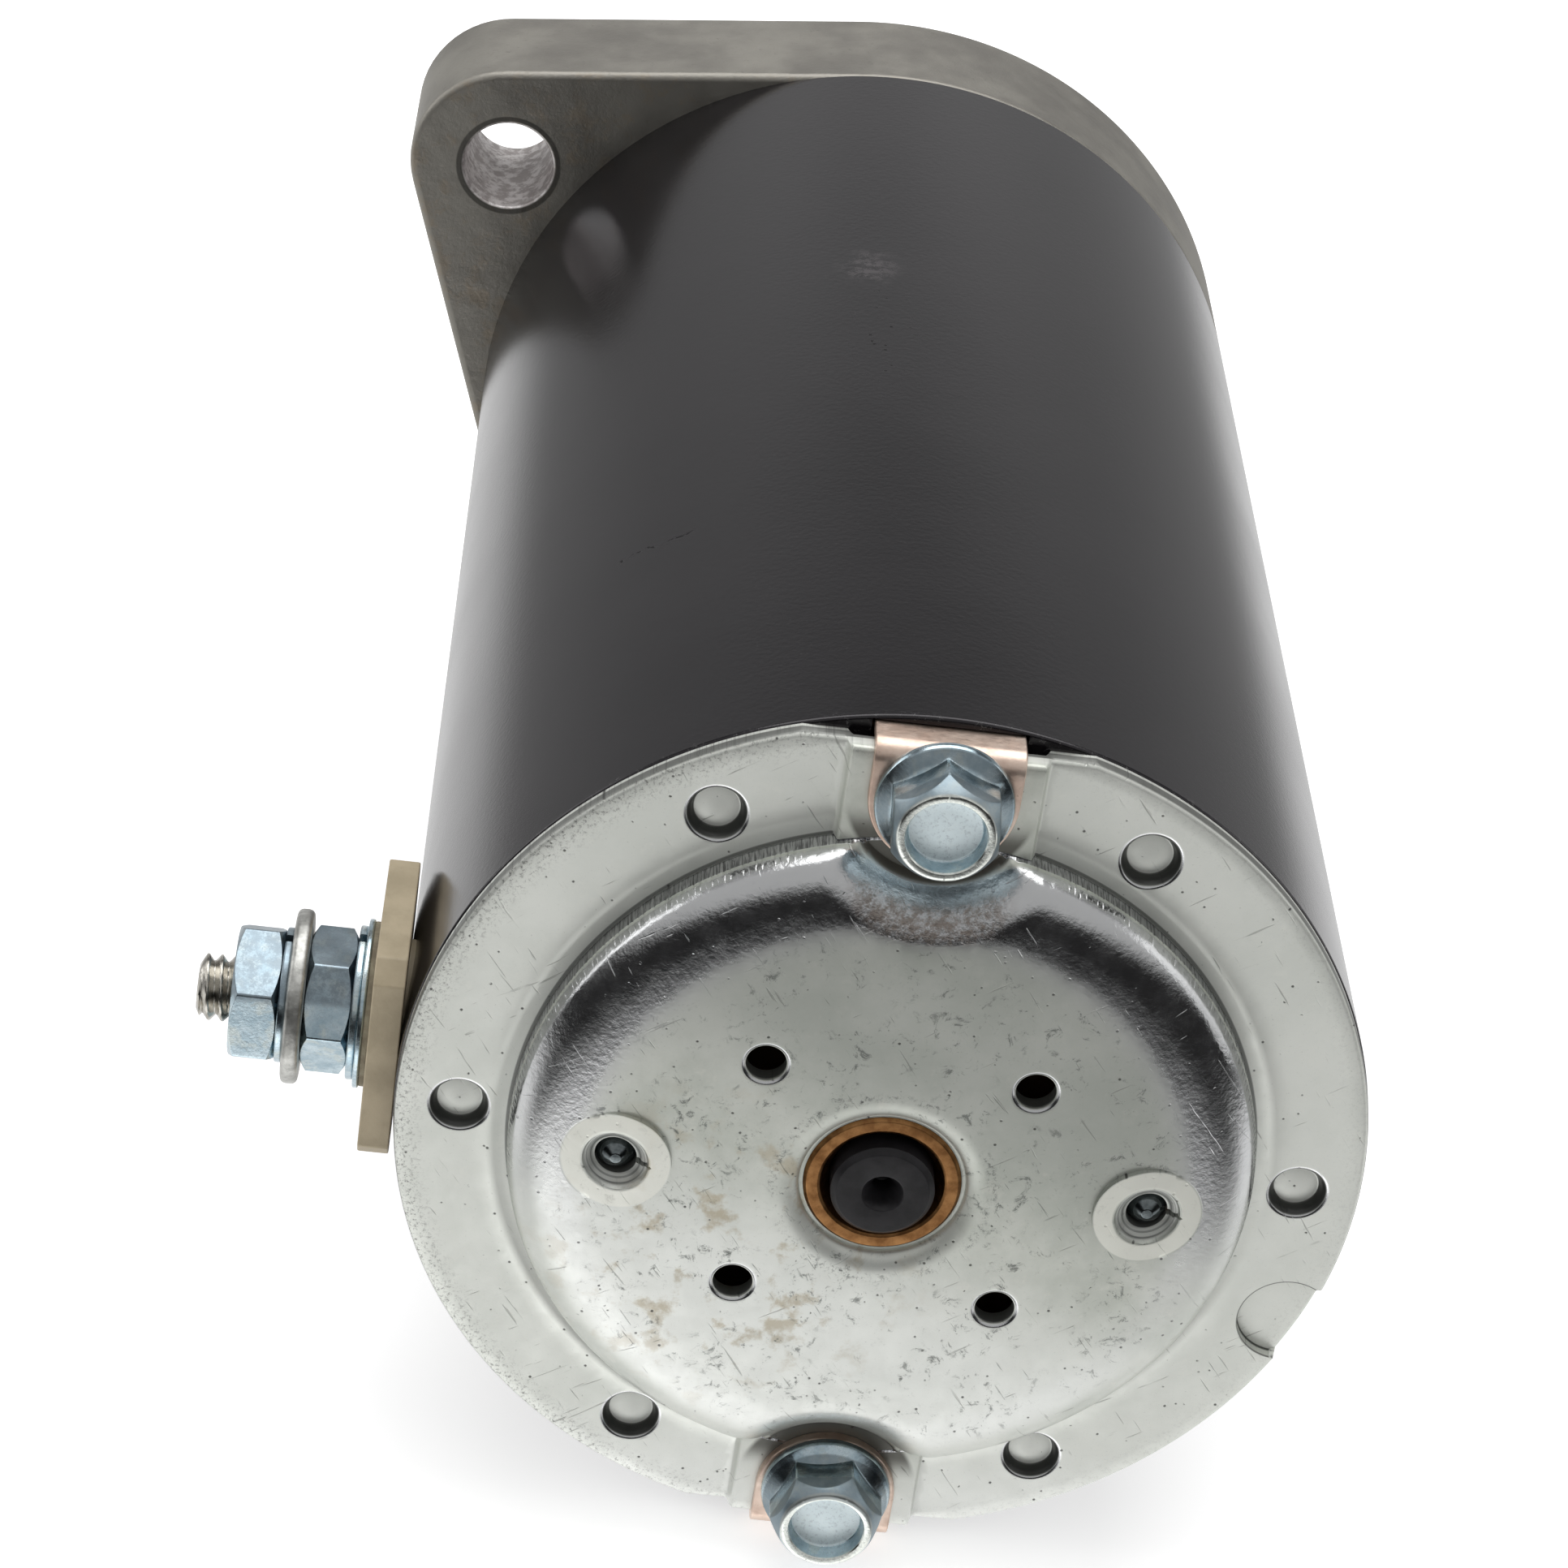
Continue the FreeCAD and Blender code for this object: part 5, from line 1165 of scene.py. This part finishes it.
def copper_tabs():
    """A flap under each bolt head, bent over the cap's edge and down into the tube."""
    gauge, half, leg = 1.0, corner("ground_tabs", 1, 0), corner("ground_tabs", 1, 1)
    middle_y, leg_z = TAB_Y + gauge / 2, corner("ground_tabs", 1, 2) - gauge / 2
    bend = 1.25
    path = []
    for a in np.linspace(0.0, math.pi / 2, 22):
        z = BOLT_Z - half * math.cos(a)
        path.append((middle_y, z, max(half * math.sin(a), 0.35)))
    path += [(middle_y, z, half) for z in np.linspace(BOLT_Z + 0.5, leg_z - bend, 6)]
    for a in np.linspace(0, math.pi / 2, 9)[1:]:
        path.append((middle_y + bend * (1 - math.cos(a)), leg_z - bend * (1 - math.sin(a)), half))
    path += [(y, leg_z, half) for y in np.linspace(middle_y + bend + 1, leg, 8)]
    path = np.array(path)
    along = np.gradient(path[:, :2], axis=0)
    along /= np.linalg.norm(along, axis=1)[:, None]
    rings = []
    for (y, z, wide), (ty, tz) in zip(path, along):
        ny, nz = -tz, ty
        section = rounded([(wide, gauge / 2, 0.18), (-wide, gauge / 2, 0.18), (-wide, -gauge / 2, 0.18),
                           (wide, -gauge / 2, 0.18)], True, 3)
        rings.append(np.array([(x, y + t * ny, z + t * nz) for x, t in section]))
    points, faces = loft(rings)
    n, last = len(rings[0]), (len(rings) - 1) * len(rings[0])
    faces += [tuple(range(n)), tuple(last + i for i in reversed(range(n)))]
    other = points * np.array([-1, 1, -1])
    pair = merged([(points, faces), (other, faces)])
    return piece("copper_tab_pair", pair, "motor_body", "copper", ["ground_tabs"])


# ------------------------------------------------------------------ terminal

def disc_washer(low, high, bore, outer, ease):
    """A flat washer with eased edges."""
    inner = ease * 0.6
    return turned([(bore, low, inner), (outer, low, ease), (outer, high, ease), (bore, high, inner)], 96)


def terminal_stack():
    """Insulator slab, washers, nuts and stud, each where its CAD node is."""
    def span(node):
        return -corner(node, 1, 0), -corner(node, 0, 0)

    def reach(node):
        return (corner(node, 1, 1) - corner(node, 0, 1)) / 2

    bore = 3.25
    low, high = span("terminal_insulator")
    long, wide, nip = reach("terminal_insulator"), corner("terminal_insulator", 1, 2), 1.9
    corners = [(-long + nip, -wide, 0.5), (long - nip, -wide, 0.5), (long, -wide + nip, 0.5),
               (long, wide - nip, 0.5), (long - nip, wide, 0.5), (-long + nip, wide, 0.5),
               (-long, wide - nip, 0.5), (-long, -wide + nip, 0.5)]
    slab = plate(rounded(corners, True, 3), [round_loop(bore, 40)], low, high, 0.16, 0.1)
    piece("terminal_slab", to_terminal(slab), "motor_body", "tan_insulator", ["terminal_insulator"])
    for node, ease, slot, material in (
            ("terminal_fibre_washer", 0.12, "fibre", None),
            ("terminal_flat_washer", 0.16, "zinc_fastener", None),
            ("terminal_outer_washer", 0.55, "zinc_fastener", DULL_STEEL)):
        low, high = span(node)
        shape = disc_washer(low, high, bore, reach(node), ease)
        piece(node + "_turned", to_terminal(shape), "motor_body", slot, [node], material)
    for node in ("terminal_lock_washer", "terminal_outer_lock_washer"):
        low, high = span(node)
        outer = reach(node)
        section = rounded([(bore, low, 0.1), (outer, low, 0.2), (outer, high, 0.2), (bore, high, 0.1)])
        piece(node + "_split", to_terminal(opened(section, 10.0)), "motor_body", "zinc_fastener", [node])
    for node, turn in (("terminal_nut_inner", 0.0), ("terminal_nut_outer", 30.0)):
        low, high = span(node)
        piece(node + "_hexagon", to_terminal(nut(11.9, low, high, turn, bore)), "motor_body", "zinc_fastener",
              [node], angle=24.0)
    low, high = span("terminal_stud")
    thread = threaded(3.1, 2.5, 1.27, 45.0, high, 0.5)
    square = [(4.7 * x, 4.7 * z, 0.4) for x, z in ((-1, -1), (1, -1), (1, 1), (-1, 1))]
    head = plate(rounded(square, True, 3), [], low, low + 3.2, 0.3)
    neck = turned([(0, low + 3), (3.1, low + 3), (3.1, 45.2), (0, 45.2)], 56, False)
    piece("terminal_stud_threaded", to_terminal(merged([thread, head, neck])), "motor_body", "zinc_fastener",
          ["terminal_stud"], BRIGHT_STEEL)


# ------------------------------------------------------------------ shaft ends and drive

def splined(tip, root, low, high, lead, step=0.5):
    """A six-lobe helical spline between two y stations."""
    corners = []
    for k in range(6):
        for radius, angle, fillet in ((root, -19, 0.25), (tip, -11, 0.15), (tip, 0, 0), (tip, 11, 0.15),
                                      (root, 19, 0.25), (root, 30, 0)):
            a = math.radians(60 * k + angle)
            corners.append((radius * math.sin(a), radius * math.cos(a), fillet))
    loop = np.array(rounded(corners, True, 2))
    rings = []
    for y in np.arange(low, high + step / 2, step):
        turn = TURN * y / lead
        c, s = math.cos(turn), math.sin(turn)
        rings.append(np.stack([loop[:, 0] * c + loop[:, 1] * s, np.full(len(loop), y),
                               loop[:, 1] * c - loop[:, 0] * s], axis=1))
    zero = np.zeros_like(rings[0])
    first, last = zero + [0, low, 0], zero + [0, rings[-1][0][1], 0]
    return loft([first, *rings, last])


def shaft():
    """The armature shaft: tail with its centre hole, body, splines and threaded nose."""
    tail, tip = corner("armature_shaft", 0, 1), corner("armature_shaft", 1, 1)
    journal, main, end = 4.71, 6.3, 4.6
    shoulder, start, stop = -161.8, 6.5, 66.0
    plain = turned([(0, tail + 3.9), (0.9, tail + 3.4), (0.9, tail + 1.6), (1.9, tail, 0.15),
                    (journal - 0.5, tail, 0.12), (journal, tail + 0.5, 0.12), (journal, shoulder),
                    (main - 0.4, shoulder), (main, shoulder + 0.4), (main, start - 0.6), (main - 0.6, start),
                    (0, start)], 120, False)
    nose = turned([(0, stop - 1), (end, stop - 1), (end, tip - 0.8, 0.2), (end - 0.8, tip, 0.2), (0, tip)],
                  96, False)
    bar = splined(main - 0.02, 5.2, start - 0.7, stop, 45.0)
    return piece("shaft_bar", merged([plain, nose, bar]), "armature", "black_oxide", ["armature_shaft"])


def rear_bush():
    """The sintered bush in the cap."""
    low, high = corner("rear_bushing", 0, 1), corner("rear_bushing", 1, 1)
    inner, outer = 4.76, corner("rear_bushing", 1, 0)
    shape = turned([(inner + 0.85, low + 0.12, 0.1), (inner + 1.1, low, 0.1), (outer - 0.3, low, 0.12),
                    (outer, low + 0.3, 0.12), (outer, high), (inner, high), (inner, low + 1.6, 0.2)], 144)
    return piece("rear_bush_sintered", shape, "motor_body", "bronze", ["rear_bushing"])


def card_screws():
    """The two screws that hold the brush card, seen through the lanced seats."""
    low, high = corner("brush_card_screws", 0, 1), corner("brush_card_screws", 1, 1)
    front = -161.6
    shapes = []
    for side in (-1, 1):
        tip = turned([(0, low), (0.5, low, 0.2), (1.25, low + 0.55, 0.3), (1.8, low + 1.3, 0.2), (1.8, front),
                      (3.6, front, 0.2), (3.6, front + 1.4, 0.4), (2.9, high, 0.4), (0, high)], 56, False,
                     x=side * LANCE_X)
        shapes.append(tip)
    return piece("card_screw_pair", merged(shapes), "motor_body", "black_oxide", ["brush_card_screws"],
                 SCREW_STEEL)


def gear_loop(teeth, module, low_share=0.8):
    """Closed (x, z) loop of a spur gear with involute flanks."""
    pitch = module * teeth / 2
    tip, root = pitch + module, pitch - module * 1.25
    base = pitch * math.cos(math.radians(20))
    involute = lambda r: math.tan(math.acos(base / r)) - math.acos(base / r) if r > base else 0.0
    step = TURN / teeth
    flank = []
    for k in range(9):
        r = base + (tip - base) * k / 8
        flank.append((r, step / 4 + involute(pitch) - involute(r)))
    floor = step / 2 - (step / 2 - flank[0][1]) * low_share
    loop = []
    for k in range(teeth):
        centre = k * step
        side = [(root, floor)] + flank
        order = [(r, -a) for r, a in side] + [(r, a) for r, a in reversed(side)]
        for r, a in order:
            loop.append((r * math.cos(centre + a), r * math.sin(centre + a)))
        loop.append((root * math.cos(centre + step / 2), root * math.sin(centre + step / 2)))
    return np.array(loop), tip, root


def pinion_gear():
    """The pinion, its teeth rounded at the engaging end."""
    loop, tip, root = gear_loop(11, 2.117)
    own = np.linalg.norm(loop, axis=1)
    low, back, high, bore, collar = 21.5, 23.0, 40.0, 6.65, 13.4
    limit = lambda y: root + 1.0 + (high - y) * (tip - root - 1.0) / 2.0
    tooth_ends = (26, 30, 34, 37.6, 38.2, 38.8, 39.4, 39.8, 40.0)
    stations = [(bore, low), (collar - 0.3, low), (collar, low + 0.3), (collar, back),
                (np.minimum(own - 0.25, collar), back), (own, back + 0.25)]
    stations += [(np.minimum(own, limit(y)), y) for y in tooth_ends]
    stations += [(bore + 0.5, high), (bore, high - 0.5)]
    gear = loft(ringed(loop, stations), closed=True)
    return piece("pinion_gear", gear, "drive_pinion", "gear_steel", ["pinion"], angle=28.0)


def drive_parts():
    """The drive nut, cushion, spring follower, spring stop and shaft end nut."""
    bore = 6.6
    nut_body = turned([(bore, 9.0, 0.2), (13.6, 9.0, 0.3), (14.6, 10.0, 0.3), (14.6, 18.4, 0.3),
                       (14.0, 19.0, 0.3), (bore, 19.0, 0.2)], 144)
    groove = turned([(14.55, 13.0, 0.2), (14.75, 13.4, 0.2), (14.75, 14.4, 0.2), (14.55, 14.8, 0.2)], 144)
    piece("drive_nut_turned", merged([nut_body, groove]), "drive_pinion", "gear_steel", ["drive_nut"])
    cushion = turned([(7.4, 19.0, 0.2), (14.1, 19.0, 0.3), (13.75, 20.25, 0.5), (14.1, 21.5, 0.3),
                      (7.4, 21.5, 0.2)], 144)
    piece("drive_cushion_moulded", cushion, "drive_pinion", "rubber", ["drive_cushion"])
    back = 40.4
    cup = turned([(6.65, back, 0.2), (11.2, back, 0.6), (11.2, back + 3.4, 0.25), (10.3, back + 3.4, 0.25),
                  (10.3, back + 1.6, 0.3), (6.65, back + 1.6, 0.2)], 120)
    piece("spring_follower_cup", cup, "drive_follower", "gear_steel", ["spring_follower"])
    low = 66.0
    stop = turned([(4.6, low, 0.1), (10.4, low, 0.3), (10.4, low - 2.6, 0.25), (11.6, low - 2.6, 0.25),
                   (11.6, low + 1.8, 0.6), (4.6, low + 1.8, 0.1)], 120)
    piece("spring_stop_cup", stop, "armature", "gear_steel", ["spring_stop"])
    piece("shaft_end_nut_hexagon", nut(14.3, low + 1.8, low + 8.3, 0.0, 4.6), "armature", "zinc_fastener",
          ["shaft_end_nut"], angle=24.0)


def compression_spring():
    """The anti-drift spring."""
    mean, wire, turns, travel = 9.0, 0.7, 6.0, 16
    start, end = corner("anti_drift_spring", 0, 1), corner("anti_drift_spring", 1, 1)
    at = np.linspace(0, turns, 420)
    share = np.clip(smooth(at, -1.2, turns + 1.2) * 1.12 - 0.06, 0, 1)
    rise = start + wire + (end - start - 2 * wire) * share
    path = np.stack([mean * np.sin(TURN * at), rise, mean * np.cos(TURN * at)], axis=1)
    obj = piece("anti_drift_coil", swept(path, wire, 14), "armature", "plated_spring", ["anti_drift_spring"])
    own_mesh(obj)


def brush_coils():
    """A light spring behind each brush."""
    mean, wire, turns, inner, outer, travel = 2.3, 0.25, 4.0, 27.7, 32.0, 3.0
    middle = (corner("brush_springs", 0, 1) + corner("brush_springs", 1, 1)) / 2
    at = np.linspace(0, turns * TURN, 160)[:, None]
    rise = np.linspace(inner + wire, outer - wire, 160)[:, None]
    for k, (x, z) in enumerate(((1, 1), (-1, 1), (-1, -1), (1, -1)), start=1):
        out = np.array((x, 0.0, z)) / math.sqrt(2)
        side = np.array((z, 0.0, -x)) / math.sqrt(2)
        path = rise * out + mean * (np.cos(at) * side + np.sin(at) * np.array((0.0, 1.0, 0.0)))
        path[:, 1] += middle
        obj = piece(f"brush_coil_{k}", swept(path, wire, 10), "motor_body", "spring_steel",
                    ["brush_springs"] if k == 1 else ())
        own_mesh(obj)


# ------------------------------------------------------------------ the CAD nodes that stay

KEPT = {
    "front_bushing": "bronze", "magnets": "ferrite", "magnet_clips": "spring_steel", "brush_card": "phenolic",
    "brush_boxes": "brass_sheet", "brush_leads": "copper_wire",
    "terminal_sleeve": "tan_insulator", "terminal_inner_insulator": "tan_insulator",
    "terminal_strap": "copper",
    "armature_core": "lamination", "core_insulators": "fibre", "armature_windings": "copper_wire",
    "commutator_hub": "phenolic", "commutator_bars": "copper", "rear_thrust_washer": "spring_steel",
    "front_thrust_washer": "spring_steel", "shaft_snap_ring": "spring_steel",
    "brush_1": "carbon", "brush_2": "carbon", "brush_3": "carbon", "brush_4": "carbon",
}


def finish_kept():
    """Give each CAD node that stays the material of its slot."""
    for node, slot in KEPT.items():
        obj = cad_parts[node]
        obj.data.materials.clear()
        obj.data.materials.append(MATERIALS[slot])


# ------------------------------------------------------------------ floor, light and camera

def floor():
    """A plain pale floor just under the motor."""
    size, drop = 4.0, 0.0003
    mesh = bpy.data.meshes.new("floor")
    z = cad_low.z - drop
    steps = 24
    grid = np.linspace(-size, size, steps + 1)
    points = [(x, y, z) for x in grid for y in grid]
    row = steps + 1
    faces = [(i * row + j, (i + 1) * row + j, (i + 1) * row + j + 1, i * row + j + 1)
             for i in range(steps) for j in range(steps)]
    mesh.from_pydata(points, [], faces)
    g = Graph("floor_paper")
    tone = g.mix(g.noise(60.0, 2.0), (0.86, 0.86, 0.86), (0.9, 0.9, 0.9))
    paper = g.finish(tone, 0.9, None, 0.0, Emission_Strength=0.6)
    g.shader.inputs["Emission Color"].default_value = (1.0, 1.0, 1.0, 1.0)
    mesh.materials.append(paper)
    obj = bpy.data.objects.new("floor", mesh)
    obj.visible_glossy = False
    bpy.context.scene.collection.objects.link(obj)


def softbox(name, place, aim, wide, high, watts):
    """A rectangular area light aimed at a point."""
    light = bpy.data.lights.new(name, "AREA")
    light.shape, light.size, light.size_y, light.energy = "RECTANGLE", wide, high, watts
    obj = bpy.data.objects.new(name, light)
    obj.location = place
    obj.rotation_euler = (Vector(aim) - Vector(place)).to_track_quat("-Z", "Y").to_euler()
    bpy.context.scene.collection.objects.link(obj)


def lights():
    """Soft boxes above and at both sides, in a studio that is dark at eye level in front."""
    middle = (0.0, -0.08, 0.0)
    softbox("top_box", (0.0, 0.1, 0.92), middle, 1.0, 0.9, 7.0)
    softbox("left_box", (-0.75, 0.12, 0.25), middle, 0.6, 0.5, 1.3)
    softbox("right_box", (0.75, -0.05, 0.2), middle, 0.6, 0.5, 0.7)
    world = bpy.data.worlds.new("studio")
    bpy.context.scene.world = world
    world.use_nodes = True
    n = Nodes(world.node_tree, "Generated")
    x, y, z = n.split()
    # a pale wall behind and a dark room in front; below, the white table by the object
    sideways = abs(x)
    overhead = n.band(z, 0.13, 0.4, 0.02, 0.55)
    wall = n.band(z, 0.3, 0.56, 0.66, 0.18) * n.band(sideways, 0.1, 0.45, 1.0, 0.58)
    behind = n.band(y, -0.15, 0.55, overhead, wall)
    near = n.band(z, -0.42, -0.74, 0.12, 1.6) * n.band(x, -0.08, 0.26, 1.3, 0.85)
    near = near * n.band(sideways, 0.35, 0.75, 1.0, 0.4)
    table = n.band(y, -0.7, -0.1, near, 1.0)
    edge = n.band(y, -0.9, 0.2, -0.3, -0.21)
    sky = n.tree.nodes["Background"]
    sky.inputs["Color"].default_value = (1.0, 1.0, 1.0, 1.0)
    n.give(sky.inputs["Strength"], n.band(edge - z, -0.06, 0.14, behind, table))


def camera():
    """A long lens above and in front of the end cap."""
    lens = bpy.data.cameras.new("camera")
    lens.lens, lens.sensor_width = 102.545, 36.0
    lens.clip_start, lens.clip_end = 0.01, 50.0
    obj = bpy.data.objects.new("camera", lens)
    obj.location = (-0.04018, -0.49969, 0.23219)
    obj.rotation_euler = [math.radians(a) for a in (59.388, -7.448, -0.162)]
    bpy.context.scene.collection.objects.link(obj)
    bpy.context.scene.camera = obj
    bpy.context.scene.view_settings.view_transform = "Standard"


pressed_cap()
tube_shell()
drive_flange()
long_bolts()
copper_tabs()
terminal_stack()
shaft()
rear_bush()
card_screws()
pinion_gear()
drive_parts()
compression_spring()
brush_coils()
finish_kept()
floor()
lights()
camera()
